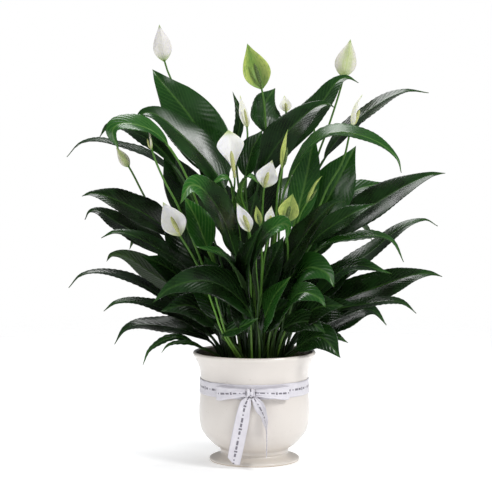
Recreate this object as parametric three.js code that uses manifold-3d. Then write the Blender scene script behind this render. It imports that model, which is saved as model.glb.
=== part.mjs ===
// A peace lily growing in a footed ceramic planter with a ribbon bow.
// Millimetres, +Z up, the origin in the middle of the planter's underside, -Y towards the front.
import * as THREE from "three";
import { mergeVertices } from "three/addons/utils/BufferGeometryUtils.js";
import Module from "manifold-3d";

const wasm = await Module();
wasm.setup();

// ---- Driving dimensions -----------------------------------------------------------------
const ROUND_SIDES = 36;
const FOOT_RADIUS = 70;
const WAIST_RADIUS = 51.5;
const BELLY_RADIUS = 86.3;
const RIM_RADIUS = 95.5;
const RIM_TOP = 170.5;
const PLANTER_FLOOR = 22;

const SOIL_TOP = 152;
const SOIL_RADIUS = 73;
const GAP = 0.3;

const RIBBON_HALF = 11;
const RIBBON_THICK = 0.7;
const RIBBON_Z = 118.5;

const PETIOLE_FOOT = 2.7;
const PETIOLE_NECK = 1.7;
const LEAF_THICK = 1.2;
const STALK_FOOT = 2.3;
const STALK_TOP = 1.5;
const SPATHE_THICK = 0.9;
const SPADIX_RADIUS = 3.4;

const GLAZE = 0xe6e1d8;
const BLACK_PLASTIC = 0x1d1e1f;
const PEAT = 0x2e2118;
const MOSS = 0x5d5636;
const SATIN = 0xf1eff4;
const LEAF_GREEN = 0x17461c;
const SPATHE_COLOURS = { white: 0xf4f3ea, green: 0xa9bf4c };

// ---- The plant --------------------------------------------------------------------------
// Each leaf: name, where its stalk leaves the soil [x, y], then the blade's middle line from
// its base to its tip, the blade's full width, and how far its upper side turns to the front.
const LEAVES = [
  ["leaf_01", [-14, 24],
    [[-47, 33, 435], [-95, 50, 527], [-149, 62, 594], [-161, 80, 610]], 84, 78],
  ["leaf_02", [-22, 6],
    [[-46, -1, 423], [-115, -14, 510], [-167, -22, 541], [-185, -26, 522]], 68, 50],
  ["leaf_03", [-36, 2],
    [[-122, -25, 459], [-178, -34, 509], [-221, -36, 521], [-236, -38, 504]], 56, 28],
  ["leaf_04", [-34, 12],
    [[-127, 31, 446], [-219, 44, 492], [-272, 48, 494], [-295, 48, 472]], 46, 10],
  ["leaf_05", [-28, 18], [[-69, 15, 358], [-116, 20, 436], [-143, 26, 489]], 68, 78],
  ["leaf_06", [1, 36], [[18, 68, 509], [16, 78, 553], [33, 84, 581]], 64, 84],
  ["leaf_07", [10, 28], [[7, 25, 434], [65, 34, 524], [113, 42, 555], [126, 44, 549]], 66, 44],
  ["leaf_08", [15, 30], [[49, 56, 474], [108, 74, 559], [145, 84, 597], [166, 86, 589]], 50, 42],
  ["leaf_09", [28, -4],
    [[51, -21, 435], [112, -40, 509], [170, -52, 504], [215, -60, 472], [222, -62, 450]], 52, 22],
  ["leaf_10", [30, 30], [[111, 54, 470], [174, 68, 538], [239, 76, 575], [277, 78, 573]], 44, 22],
  ["leaf_11", [24, 22], [[96, 32, 369], [134, 28, 442], [159, 24, 490]], 72, 80],
  ["leaf_12", [18, 4], [[60, 1, 363], [80, 4, 440], [94, 8, 518]], 46, 80],
  ["leaf_13", [38, 6], [[106, 8, 335], [205, 14, 410], [274, 18, 444], [298, 20, 447]], 64, 42],
  ["leaf_14", [26, -22],
    [[33, -41, 277], [81, -66, 361], [122, -80, 405], [136, -84, 407]], 68, 46],
  ["leaf_15", [36, 26], [[81, 32, 241], [176, 46, 316], [269, 58, 372], [291, 60, 362]], 48, 24],
  ["leaf_16", [44, -12], [[91, -14, 253], [150, -18, 305], [212, -20, 293]], 46, 30],
  ["leaf_17", [46, 2], [[91, 3, 223], [198, 6, 272], [273, 8, 291], [293, 8, 286]], 66, 42],
  ["leaf_18", [47, 13], [[67, 21, 184], [134, 34, 218], [185, 42, 230], [209, 44, 206]], 64, 36],
  ["leaf_19", [40, -34], [[64, -47, 181], [100, -72, 201], [130, -88, 171]], 50, 55],
  ["leaf_20", [10, -46], [[11, -66, 207], [30, -100, 265], [54, -118, 297]], 50, 76],
  ["leaf_21", [22, -46],
    [[38, -80, 224], [71, -122, 273], [96, -136, 266], [105, -142, 253]], 50, 46],
  ["leaf_22", [26, -30],
    [[44, -45, 247], [80, -84, 307], [109, -104, 300], [119, -112, 280]], 64, 56],
  ["leaf_23", [-12, -36],
    [[-29, -69, 325], [-61, -110, 406], [-93, -138, 434], [-110, -154, 407]], 66, 72],
  ["leaf_24", [-4, -44], [[-11, -76, 255], [-46, -120, 328], [-88, -136, 343]], 50, 32],
  ["leaf_25", [2, -50], [[5, -93, 254], [8, -142, 350], [48, -168, 377], [45, -178, 351]], 62, 72],
  ["leaf_26", [-42, 3],
    [[-124, 2, 349], [-200, -2, 400], [-253, -4, 416], [-267, -4, 412]], 62, 42],
  ["leaf_27", [-44, 18],
    [[-132, 26, 315], [-214, 38, 368], [-257, 44, 387], [-267, 46, 373]], 52, 34],
  ["leaf_28", [-40, -10],
    [[-74, -23, 272], [-157, -40, 338], [-211, -46, 359], [-234, -48, 350]], 50, 28],
  ["leaf_29", [-37, 30],
    [[-66, 43, 215], [-162, 70, 286], [-227, 80, 315], [-236, 80, 304]], 70, -56],
  ["leaf_30", [-46, -4],
    [[-99, -10, 222], [-204, -22, 289], [-265, -26, 292], [-286, -28, 272]], 44, 14],
  ["leaf_31", [-44, -20],
    [[-71, -37, 201], [-155, -62, 248], [-210, -68, 253], [-229, -70, 240]], 46, 22],
  ["leaf_32", [-52, 8],
    [[-70, 11, 185], [-144, 14, 209], [-200, 16, 204], [-219, 16, 179]], 48, 24],
  ["leaf_33", [9, 49], [[28, 104, 372], [38, 172, 430], [44, 228, 424], [46, 250, 396]], 62, 0],
  ["leaf_34", [-12, 46],
    [[-34, 108, 350], [-58, 172, 396], [-82, 226, 388], [-90, 244, 364]], 60, 0],
  ["leaf_35", [37, 37], [[88, 96, 330], [138, 146, 366], [184, 186, 352], [196, 198, 330]], 56, 0],
  ["leaf_36", [-30, 38],
    [[-94, 96, 312], [-144, 142, 346], [-194, 178, 336], [-206, 188, 316]], 56, 0],
  ["leaf_37", [-18, 50],
    [[-34, 112, 250], [-56, 178, 276], [-76, 232, 256], [-82, 246, 230]], 52, 0],
  ["leaf_38", [14, 52], [[38, 116, 240], [60, 182, 262], [80, 236, 240], [84, 250, 214]], 52, 0],
];

// Each flower: name, where its stalk leaves the soil, points up the stalk, the spathe's base
// and tip, then the spathe's full width, the way its open side faces, and its colour.
// An "opened" spathe is an old one, widest near its tip.
const FLOWERS = [
  ["flower_01", [-8, 34], [[-45, 60, 404], [-53, 78, 470], [-109, 100, 550]],
    [-144, 112, 624], [-152, 112, 683], 30, 90, "white"],
  ["flower_02", [4, 30], [[22, 44, 404], [20, 56, 483]],
    [12, 54, 579], [-11, 50, 650], 44, -80, "green"],
  ["flower_03", [24, 39], [[99, 84, 466], [118, 96, 517]],
    [143, 104, 598], [154, 104, 659], 36, 100, "white"],
  ["flower_04", [26, 12], [[110, 4, 418], [137, -6, 468]],
    [149, -10, 518], [166, -12, 569], 24, 0, "white"],
  ["flower_05", [-10, -8], [[-37, -34, 385], [-33, -40, 411]],
    [-30, -46, 442], [-40, -40, 515], 42, -90, "white", "opened"],
  ["flower_06", [-22, -24], [[-116, -66, 400], [-138, -72, 442]],
    [-155, -72, 485], [-161, -70, 516], 13, 180, "white"],
  ["flower_07", [-32, 22], [[-145, 36, 364], [-170, 34, 406]],
    [-195, 14, 457], [-215, 11, 488], 17, 110, "white"],
  ["flower_08", [-22, -32], [[-89, -70, 315], [-100, -78, 336]],
    [-112, -84, 356], [-138, -84, 407], 38, -80, "white"],
  ["flower_09", [-4, -16], [[-7, -66, 315]],
    [-8, -72, 361], [-27, -70, 405], 26, -50, "white"],
  ["flower_10", [6, -6], [[12, -26, 384]],
    [15, -34, 427], [27, -34, 469], 34, -100, "white"],
  ["flower_11", [12, -2], [[33, -30, 383], [36, -36, 426]],
    [42, -40, 454], [51, -44, 516], 18, -20, "green"],
  ["flower_12", [22, -10], [[70, -36, 386]],
    [79, -40, 403], [103, -44, 445], 16, -10, "green"],
];

// ---- Small helpers ----------------------------------------------------------------------
const vec = (p) => new THREE.Vector3(p[0], p[1], p[2]);
const UP = new THREE.Vector3(0, 0, 1);
const radians = (degrees) => (degrees * Math.PI) / 180;

// One closed body over rings of points. Every ring has the same count and runs anticlockwise
// about the way the rings advance.
function skin(rings) {
  const count = rings[0].length;
  const last = (rings.length - 1) * count;
  const index = [];
  for (let i = 0; i < rings.length - 1; i += 1) {
    for (let k = 0; k < count; k += 1) {
      const a = i * count + k;
      const b = i * count + ((k + 1) % count);
      index.push(a, b, b + count);
      index.push(a, b + count, a + count);
    }
  }
  for (let k = 1; k < count - 1; k += 1) {
    index.push(0, k + 1, k);
    index.push(last, last + k, last + k + 1);
  }
  const positions = rings.flat().flatMap((p) => [p.x, p.y, p.z]);
  const geometry = new THREE.BufferGeometry();
  geometry.setAttribute("position", new THREE.Float32BufferAttribute(positions, 3));
  geometry.setIndex(index);
  return geometry;
}

// A smooth line through the points, as short steps. Each handle is a third of its span.
function smoothLine(points, steps) {
  const last = points.length - 1;
  const span = (i) => points[i + 1].clone().sub(points[i]);
  const heading = points.map((p, i) => {
    const way = new THREE.Vector3();
    if (i > 0) way.add(span(i - 1).normalize());
    if (i < last) way.add(span(i).normalize());
    return way.normalize();
  });
  const line = [points[0]];
  for (let i = 0; i < last; i += 1) {
    const reach = span(i).length() / 3;
    const piece = new THREE.CubicBezierCurve3(
      points[i],
      points[i].clone().addScaledVector(heading[i], reach),
      points[i + 1].clone().addScaledVector(heading[i + 1], -reach),
      points[i + 1],
    );
    line.push(...piece.getPoints(steps).slice(1));
  }
  return line;
}

// Stations at the given shares of a line's length, each with its place and its heading.
function stations(line, shares) {
  const along = [0];
  for (let i = 1; i < line.length; i += 1) {
    along.push(along[i - 1] + line[i].distanceTo(line[i - 1]));
  }
  const placeAt = (share) => {
    const target = THREE.MathUtils.clamp(share, 0, 1) * along[along.length - 1];
    let i = 1;
    while (i < line.length - 1 && along[i] < target) i += 1;
    return line[i - 1].clone().lerp(line[i], (target - along[i - 1]) / (along[i] - along[i - 1]));
  };
  return shares.map((share) => ({
    share,
    at: placeAt(share),
    heading: placeAt(share + 0.01).sub(placeAt(share - 0.01)).normalize(),
  }));
}

// The value at t between listed [t, value] pairs.
function between(pairs, t) {
  let i = 1;
  while (i < pairs.length - 1 && pairs[i][0] < t) i += 1;
  const [t0, v0] = pairs[i - 1];
  const [t1, v1] = pairs[i];
  return v0 + ((v1 - v0) * (t - t0)) / (t1 - t0);
}

// The two directions across a heading: along the width, and out of the upper face.
function crossDirections(heading, side, turn) {
  const flat = side.clone().addScaledVector(heading, -side.dot(heading)).normalize();
  const up = heading.clone().cross(flat);
  const c = Math.cos(radians(turn));
  const s = Math.sin(radians(turn));
  return {
    side: flat.clone().multiplyScalar(c).addScaledVector(up, s),
    top: up.clone().multiplyScalar(c).addScaledVector(flat, -s),
  };
}

function ringAt(station, across, corners) {
  return corners.map(([a, h]) =>
    station.at.clone().addScaledVector(across.side, a).addScaledVector(across.top, h),
  );
}

function roundCorners(radius, twist = 0) {
  return [0, 1, 2, 3, 4, 5, 6, 7].map((k) => [
    radius * Math.cos((k * Math.PI) / 4 + twist),
    radius * Math.sin((k * Math.PI) / 4 + twist),
  ]);
}

// A blade's cross-section: thick at the midrib, sharp at the edges, its halves raised a little.
function bladeCorners(half, quarterRise, edgeRise, thick) {
  return [
    [half, edgeRise],
    [half / 2, quarterRise + thick / 2],
    [0, thick * 0.7],
    [-half / 2, quarterRise + thick / 2],
    [-half, edgeRise],
    [-half / 2, quarterRise - thick / 2],
    [0, -thick * 0.9],
    [half / 2, quarterRise - thick / 2],
  ];
}

// Half width of a leaf blade and of a spathe along their length, as shares of the widest.
const LEAF_OUTLINE = [
  [0, 0.06], [0.09, 0.46], [0.22, 0.88], [0.38, 1], [0.56, 0.9],
  [0.73, 0.6], [0.88, 0.2], [1, 0.02],
];
const SPATHE_OUTLINE = [
  [0, 0.14], [0.1, 0.58], [0.26, 0.94], [0.44, 0.98], [0.64, 0.74],
  [0.84, 0.26], [1, 0.04],
];
const SPATHE_OPENED = [
  [0, 0.14], [0.16, 0.2], [0.34, 0.48], [0.52, 0.86], [0.7, 1],
  [0.88, 0.58], [1, 0.04],
];

// Joins closed geometries that overlap into one closed body.
function joined(geometries) {
  const solids = geometries.map((geometry) => {
    const bare = geometry.clone();
    bare.deleteAttribute("normal");
    bare.deleteAttribute("uv");
    const merged = mergeVertices(bare, 1e-3);
    return new wasm.Manifold(
      new wasm.Mesh({
        numProp: 3,
        vertProperties: merged.attributes.position.array,
        triVerts: new Uint32Array(merged.index.array),
      }),
    );
  });
  const whole = wasm.Manifold.union(solids).getMesh();
  const geometry = new THREE.BufferGeometry();
  geometry.setAttribute("position", new THREE.BufferAttribute(whole.vertProperties, 3));
  geometry.setIndex(new THREE.BufferAttribute(whole.triVerts, 1));
  return geometry;
}

// ---- Planter, pot and filling -----------------------------------------------------------
function turned(profile) {
  const points = profile.map(([r, z]) => new THREE.Vector2(r, z));
  const geometry = new THREE.LatheGeometry(points, ROUND_SIDES);
  geometry.rotateX(Math.PI / 2);
  return geometry;
}

const PLANTER_OUTSIDE = [
  [FOOT_RADIUS, 0], [FOOT_RADIUS, 4], [66, 6.5], [56, 9], [WAIST_RADIUS, 12],
  [53, 14.5], [53.8, 19.4], [62, 25], [70, 32.7], [78, 42], [82.5, 49.5], [85.5, 62],
  [BELLY_RADIUS, 75], [85.6, 95], [84.2, 115], [83.8, 130], [84.8, 142], [88.5, 154],
  [92.5, 162], [RIM_RADIUS, 168], [94.5, RIM_TOP],
];
const PLANTER_INSIDE = [
  [91.5, RIM_TOP], [87.6, 163], [83.4, 155], [79.8, 143], [78.6, 130], [79, 115],
  [80.4, 95], [81, 75], [80.2, 62], [76.8, 50], [70, 38], [60, 27],
  [50, PLANTER_FLOOR],
];
const POT_OUTSIDE = [
  [46, PLANTER_FLOOR + GAP], [75, 143], [77.6, 143.5], [77.6, 150.5],
];

const planter = () => turned([[0, 0], ...PLANTER_OUTSIDE, ...PLANTER_INSIDE, [0, PLANTER_FLOOR]]);

function growPot() {
  const floor = PLANTER_FLOOR + GAP;
  return turned([[0, floor], ...POT_OUTSIDE, [75.6, 150.5], [44.6, floor + 1.6], [0, floor + 1.6]]);
}

function pottingMix() {
  const bottom = PLANTER_FLOOR + 2 * GAP + 1.6;
  return turned([
    [0, bottom], [44, bottom], [SOIL_RADIUS, 142], [74.4, 148], [72, SOIL_TOP - 0.6],
    [60, SOIL_TOP], [0, SOIL_TOP],
  ]);
}

// A collar of dried moss that hides the edge of the inner pot.
function mossCollar() {
  const low = SOIL_TOP + GAP;
  return turned([
    [61, low], [77, low], [81.6, 154], [82.4, 157], [78, 160.5], [69, 160], [62, 157], [61, low],
  ]);
}

// ---- Ribbon -----------------------------------------------------------------------------
// The planter's outer radius at a height, so that the ribbon lies on the wall.
const wallRadius = (z) => between(PLANTER_OUTSIDE.slice(4).map(([r, height]) => [height, r]), z);

function ribbonBand() {
  const heights = [RIBBON_Z - RIBBON_HALF, RIBBON_Z - 3.5, RIBBON_Z + 3.5, RIBBON_Z + RIBBON_HALF];
  const inner = heights.map((z) => [wallRadius(z) + GAP, z]);
  const outer = inner.map(([r, z]) => [r + RIBBON_THICK, z]);
  return turned([...outer, ...inner.reverse(), outer[0]]);
}

// A strip of ribbon. Each stop: place, half width, and the way its width runs.
function ribbonStrip(stops, steps) {
  const line = smoothLine(stops.map(([place]) => vec(place)), steps);
  const count = line.length - 1;
  const rings = stations(line, line.map((p, i) => i / count)).map((station) => {
    const at = station.share * (stops.length - 1);
    const i = Math.min(Math.floor(at), stops.length - 2);
    const blend = at - i;
    const half = THREE.MathUtils.lerp(stops[i][1], stops[i + 1][1], blend);
    const side = vec(stops[i][2]).lerp(vec(stops[i + 1][2]), blend);
    const across = crossDirections(station.heading, side, 0);
    const body = RIBBON_THICK / 2;
    return ringAt(station, across, [[half, body], [-half, body], [-half, -body], [half, -body]]);
  });
  return skin(rings);
}

// A loop of the bow lies on the band: out along the back ply and home along the front ply.
function ribbonLoop(way, reach, nearHalf, farHalf, drop) {
  const place = (degrees, radius, z) => {
    const a = Math.asin(KNOT_X / radius) + way * radians(degrees);
    return [radius * Math.sin(a), -radius * Math.cos(a), z];
  };
  const tall = [0, 0, 1];
  const middle = (nearHalf + farHalf) / 2;
  return ribbonStrip(
    [
      [place(4.6, 87.4, RIBBON_Z), nearHalf, tall],
      [place(reach * 0.5, 87.4, RIBBON_Z - drop / 2), middle, tall],
      [place(reach * 0.9, 88, RIBBON_Z - drop), farHalf, tall],
      [place(reach, 91, RIBBON_Z - drop), farHalf, tall],
      [place(reach * 0.88, 94.2, RIBBON_Z - drop), farHalf, tall],
      [place(reach * 0.5, 95.2, RIBBON_Z - drop / 2), middle, tall],
      [place(4.6, 93.2, RIBBON_Z), nearHalf, tall],
    ],
    4,
  );
}

const KNOT_X = -6;
const KNOT_Y = -91.2;

function ribbonKnot() {
  const geometry = new THREE.SphereGeometry(1, 14, 10);
  geometry.scale(5.4, 4.4, 6.4);
  geometry.translate(KNOT_X, KNOT_Y, RIBBON_Z);
  return geometry;
}

function ribbonTailLeft() {
  return ribbonStrip(
    [
      [[-9, -90.4, 111.4], 4, [1, 0, 0.2]],
      [[-14, -90, 100], 9, [1, 0, 0.2]],
      [[-19, -89.6, 76], 10.6, [1, 0, 0.2]],
      [[-25.5, -88, 44], 10.6, [1, 0, 0.2]],
      [[-32.5, -81, 8], 10.6, [1, 0, 0.15]],
    ],
    3,
  );
}

// This tail turns edge-on in many short steps, because a thin strip may twist only a little
// in each of them.
const TWIST_STEPS = 12;

function ribbonTailRight() {
  return ribbonStrip(
    [
      [[-1.5, -90.4, 111.4], 3.6, [1, 0, 0.4]],
      [[7, -92, 98], 7.5, [1, -0.3, 0.3]],
      [[14.5, -94, 82], 9.5, [0.5, -0.9, 0.2]],
      [[17.8, -98, 62], 10.4, [0.1, -1, 0]],
      [[18, -96, 22], 10.6, [0, -1, 0]],
    ],
    TWIST_STEPS,
  );
}

// ---- Leaves and flowers -----------------------------------------------------------------
const STALK_STEPS = 12;

function leafBody([, root, blade, width, turn]) {
  const base = vec(blade[0]);
  const tip = vec(blade[blade.length - 1]);
  const foot = new THREE.Vector3(root[0], root[1], SOIL_TOP + GAP);
  const knee = new THREE.Vector3(
    foot.x + (base.x - foot.x) * 0.34,
    foot.y + (base.y - foot.y) * 0.34,
    foot.z + (base.z - foot.z) * 0.55,
  );
  const outward = tip.clone().sub(base).setZ(0).normalize();
  const side = UP.clone().cross(outward);
  const facing = outward.x < 0 ? -turn : turn;
  const line = smoothLine([foot, knee, ...blade.map(vec)], STALK_STEPS);
  const stalk = stations(line.slice(0, 2 * STALK_STEPS + 1), [0, 0.45, 0.96]);
  const leaf = stations(line.slice(2 * STALK_STEPS), LEAF_OUTLINE.map(([t]) => t));
  const rings = stalk.map((station) => {
    const radius = THREE.MathUtils.lerp(PETIOLE_FOOT, PETIOLE_NECK, station.share);
    const heading = station.share === 0 ? UP : station.heading;
    return ringAt(station, crossDirections(heading, side, 0), roundCorners(radius));
  });
  leaf.forEach((station) => {
    const half = (width / 2) * between(LEAF_OUTLINE, station.share);
    const thick = LEAF_THICK * (1.5 - station.share);
    const across = crossDirections(station.heading, side, facing);
    rings.push(ringAt(station, across, bladeCorners(half, half * 0.13, half * 0.16, thick)));
  });
  return skin(rings);
}

function flowerBody([, root, up, base, tip, width, faces, , age]) {
  const foot = new THREE.Vector3(root[0], root[1], SOIL_TOP + GAP);
  const top = vec(base);
  const heading = vec(tip).sub(top).normalize();
  const length = vec(tip).distanceTo(top);
  const facing = new THREE.Vector3(Math.cos(radians(faces)), Math.sin(radians(faces)), 0);
  const open = facing.addScaledVector(heading, -facing.dot(heading)).normalize();
  const side = open.clone().cross(heading);
  const neck = top.clone().addScaledVector(heading, 3);
  const stalkLine = smoothLine([foot, ...up.map(vec), top, neck], STALK_STEPS);
  const stalk = stations(stalkLine, [0, 0.25, 0.5, 0.75, 0.97, 1]).map((station) => {
    const radius = THREE.MathUtils.lerp(STALK_FOOT, STALK_TOP, station.share);
    const way = station.share === 0 ? UP : station.heading;
    return ringAt(station, crossDirections(way, side, 0), roundCorners(radius, 0.17));
  });
  // The spathe stands behind the spadix, bowed back in its middle and cupped at its edges.
  const back = [0, 0.25, 0.5, 0.75, 1].map((t) =>
    top
      .clone()
      .addScaledVector(heading, length * t)
      .addScaledVector(open, -0.1 * length * Math.sin(Math.PI * t)),
  );
  const outline = age === "opened" ? SPATHE_OPENED : SPATHE_OUTLINE;
  const spathe = stations(smoothLine(back, 6), outline.map(([t]) => t)).map((station) => {
    const half = (width / 2) * between(outline, station.share);
    const across = crossDirections(station.heading, side, 0);
    return ringAt(station, across, bladeCorners(half, half * 0.14, half * 0.5, SPATHE_THICK));
  });
  const spadixLine = [
    top.clone(),
    top.clone().addScaledVector(heading, length * 0.16).addScaledVector(open, 2.4),
    top.clone().addScaledVector(heading, length * 0.56).addScaledVector(open, 3.4),
  ];
  const girth = [[0, 0.36], [0.2, 0.42], [0.3, 0.9], [0.55, 1], [0.85, 0.8], [1, 0.25]];
  const slim = Math.min(1, width / 26);
  const spadix = stations(smoothLine(spadixLine, 6), girth.map(([t]) => t)).map((station) => {
    const radius = SPADIX_RADIUS * slim * between(girth, station.share);
    return ringAt(station, crossDirections(station.heading, side, 0), roundCorners(radius, 0.41));
  });
  return joined([skin(stalk), skin(spathe), skin(spadix)]);
}

// ---- The whole part ---------------------------------------------------------------------
const group = new THREE.Group();

function add(name, geometry, color, roughness) {
  const material = new THREE.MeshStandardMaterial({ color, roughness, metalness: 0 });
  const mesh = new THREE.Mesh(geometry, material);
  mesh.name = name;
  group.add(mesh);
}

add("planter", planter(), GLAZE, 0.25);
add("grow_pot", growPot(), BLACK_PLASTIC, 0.6);
add("potting_mix", pottingMix(), PEAT, 1);
add("moss_collar", mossCollar(), MOSS, 1);
add("ribbon_band", ribbonBand(), SATIN, 0.5);
add("ribbon_knot", ribbonKnot(), SATIN, 0.5);
add("ribbon_loop_left", ribbonLoop(-1, 36, 5, 10.5, 3), SATIN, 0.5);
add("ribbon_loop_right", ribbonLoop(1, 39, 4, 9.5, 2), SATIN, 0.5);
add("ribbon_tail_left", ribbonTailLeft(), SATIN, 0.5);
add("ribbon_tail_right", ribbonTailRight(), SATIN, 0.5);
LEAVES.forEach((leaf) => add(leaf[0], leafBody(leaf), LEAF_GREEN, 0.35));
FLOWERS.forEach((flower) => add(flower[0], flowerBody(flower), SPATHE_COLOURS[flower[7]], 0.5));

export default group;
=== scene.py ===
# %% [markdown]
# # A peace lily in a footed planter
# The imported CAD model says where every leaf, flower and ribbon goes. This lesson lays the
# finished pieces over it: soft glossy leaves with veins, white spathes, a glazed planter and
# a satin bow. Lengths are in metres and the front of the plant faces -Y.

# %% Load the frame
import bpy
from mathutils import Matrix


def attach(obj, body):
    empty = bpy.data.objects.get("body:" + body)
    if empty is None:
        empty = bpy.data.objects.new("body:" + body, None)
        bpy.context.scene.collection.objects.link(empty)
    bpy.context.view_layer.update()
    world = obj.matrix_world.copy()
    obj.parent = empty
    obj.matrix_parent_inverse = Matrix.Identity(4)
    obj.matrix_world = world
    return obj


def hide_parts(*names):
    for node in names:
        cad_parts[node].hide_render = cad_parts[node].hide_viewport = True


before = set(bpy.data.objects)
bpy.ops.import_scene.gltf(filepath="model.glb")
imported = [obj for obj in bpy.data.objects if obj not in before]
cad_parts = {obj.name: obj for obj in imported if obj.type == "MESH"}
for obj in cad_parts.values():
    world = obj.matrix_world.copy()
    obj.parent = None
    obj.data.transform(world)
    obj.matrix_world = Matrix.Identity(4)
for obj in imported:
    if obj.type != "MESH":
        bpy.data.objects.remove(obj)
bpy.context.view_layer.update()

# %% [markdown]
# ## Tools and small helpers
# The CAD tables are in millimetres, so one helper turns them into metres. A newly loaded
# frame leaves its nodes selected, so everything is deselected before any operator runs.

# %% Imports and helpers
import math
import bpy
from mathutils import Vector, noise
from mathutils.geometry import interpolate_bezier

UP = Vector((0, 0, 1))
TURN = 2 * math.pi


def metres(point):
    return Vector(point) / 1000


def only(*objects):
    """Selects these objects and nothing else."""
    bpy.ops.object.select_all(action="DESELECT")
    for thing in objects:
        thing.select_set(True)
    bpy.context.view_layer.objects.active = objects[0]


def settle():
    """Puts the new object's place and size into its mesh."""
    bpy.ops.object.transform_apply(location=True, rotation=True, scale=True)


def apply_modifier(thing, kind, **settings):
    only(thing)
    modifier = thing.modifiers.new(kind.title(), kind)
    for key, value in settings.items():
        setattr(modifier, key, value)
    bpy.ops.object.modifier_apply(modifier=modifier.name)


bpy.ops.object.select_all(action="DESELECT")
print(len(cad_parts), "CAD nodes to dress")

# %% [markdown]
# ## Node helpers
# Materials are drawn with nodes. These helpers keep each recipe short: one places a node
# and fills its sockets, and others do sums, blend colours and remap values.

# %% Node helpers
def feed(tree, socket, value):
    """Fills a socket with another node's output, a number, or a colour of three parts."""
    if isinstance(value, bpy.types.NodeSocket):
        tree.links.new(value, socket)
    elif socket.type == "RGBA":
        socket.default_value = (*value, 1)
    else:
        socket.default_value = value


def put(tree, kind, settings=None, **sockets):
    """Adds a node. A socket goes by its name, or by its number, as in _0."""
    node = tree.nodes.new("ShaderNode" + kind)
    for key, value in (settings or {}).items():
        setattr(node, key, value)
    for key, value in sockets.items():
        name = int(key[1:]) if key[1:].isdigit() else key.replace("_", " ")
        feed(tree, node.inputs[name], value)
    return node


def maths(tree, operation, *values):
    node = put(tree, "Math", {"operation": operation})
    for socket, value in zip(node.inputs, values):
        feed(tree, socket, value)
    return node.outputs[0]


def plus(tree, a, b):
    return maths(tree, "ADD", a, b)


def minus(tree, a, b):
    return maths(tree, "SUBTRACT", a, b)


def times(tree, a, b):
    return maths(tree, "MULTIPLY", a, b)


def clamped(tree, value):
    return put(tree, "Clamp", Value=value).outputs[0]


def remap(tree, value, low, high, to_low=0.0, to_high=1.0):
    """Carries a value smoothly from one range to another."""
    node = put(tree, "MapRange", {"interpolation_type": "SMOOTHSTEP"})
    for socket, given in zip(node.inputs[:5], (value, low, high, to_low, to_high)):
        feed(tree, socket, given)
    return node.outputs[0]


def blend_colour(tree, share, first, second):
    node = put(tree, "Mix", {"data_type": "RGBA"}, _0=share, _6=first, _7=second)
    return node.outputs[2]


def bumped(tree, height, strength, distance, invert=False, **sockets):
    """The normals of a surface that rises and sinks with height."""
    return put(tree, "Bump", {"invert": invert}, Strength=strength, Distance=distance,
               Height=height, **sockets).outputs[0]


def object_place(tree):
    return put(tree, "TexCoord").outputs["Object"]


def blade_place(tree):
    return put(tree, "Attribute", {"attribute_name": "blade"}).outputs["Vector"]


def own_tone(tree):
    return put(tree, "Attribute", {"attribute_name": "tone"}).outputs["Fac"]


def parts_of(tree, vector):
    return put(tree, "SeparateXYZ", Vector=vector).outputs


def dress(tree, **values):
    """Fills sockets of the material's own shader."""
    shader = tree.nodes["Principled BSDF"]
    for key, value in values.items():
        feed(tree, shader.inputs[key.replace("_", " ")], value)


def new_material(name, **constants):
    material = bpy.data.materials.new(name)
    material.use_nodes = True
    dress(material.node_tree, **constants)
    return material, material.node_tree


def new_group(name, inputs, outputs):
    group = bpy.data.node_groups.new(name, "ShaderNodeTree")
    for title, kind, value in inputs:
        socket = group.interface.new_socket(name=title, in_out="INPUT",
                                            socket_type="NodeSocket" + kind)
        if value is not None:
            socket.default_value = value
    for title in outputs:
        group.interface.new_socket(name=title, in_out="OUTPUT", socket_type="NodeSocketFloat")
    given = group.nodes.new("NodeGroupInput").outputs
    return group, given, group.nodes.new("NodeGroupOutput").inputs


print("node helpers ready")

# %% [markdown]
# ## Camera
# The plant is seen from straight ahead, a little above the middle, through a long lens, so
# leaves near and far keep nearly the same scale.

# %% Camera
CAMERA_PLACE = (-0.013, -2.79, 0.525)
CAMERA_DIP = 3.9
LENS = 131.7
bpy.ops.object.camera_add(location=CAMERA_PLACE)
camera = bpy.context.object
camera.rotation_euler = (math.radians(90 - CAMERA_DIP), 0, 0)
camera.data.lens = LENS
camera.data.sensor_width = 36
camera.data.dof.use_dof = False
bpy.context.scene.camera = camera
print("camera", tuple(round(c, 3) for c in camera.location))

# %% [markdown]
# ## Studio
# A pale floor, one broad light high on the right, a weaker one on the left, one above and a
# soft world light. The glossy leaves mirror whatever is round them, so reflections see a
# dimmer world than the white background does, and the leaves stay dark with long pale
# streaks. The standard view keeps whites white.

# %% Floor and lights
bpy.context.scene.view_settings.view_transform = "Standard"
bpy.ops.mesh.primitive_plane_add(size=8, location=(0, 0, 0))
floor = bpy.context.object
floor.name = "studio_floor"

LIGHTS = [  # name, place, height aimed at, size, watts
    ("key_light", (1.7, -1.3, 1.7), 0.35, (0.7, 0.7), 36),
    ("fill_light", (-1.9, -1.7, 0.9), 0.3, (0.8, 0.8), 9.5),
    ("top_light", (-0.3, 0.6, 2.2), 0.3, (1.0, 0.8), 24),
]
for name, place, aim, size, power in LIGHTS:
    bpy.ops.object.light_add(type="AREA", location=place)
    light = bpy.context.object
    light.name = name
    way = Vector((0, 0, aim)) - Vector(place)
    light.rotation_euler = way.to_track_quat("-Z", "Y").to_euler()
    light.data.shape = "RECTANGLE"
    light.data.size, light.data.size_y = size
    light.data.energy = power
print(len(LIGHTS), "lights")

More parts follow.
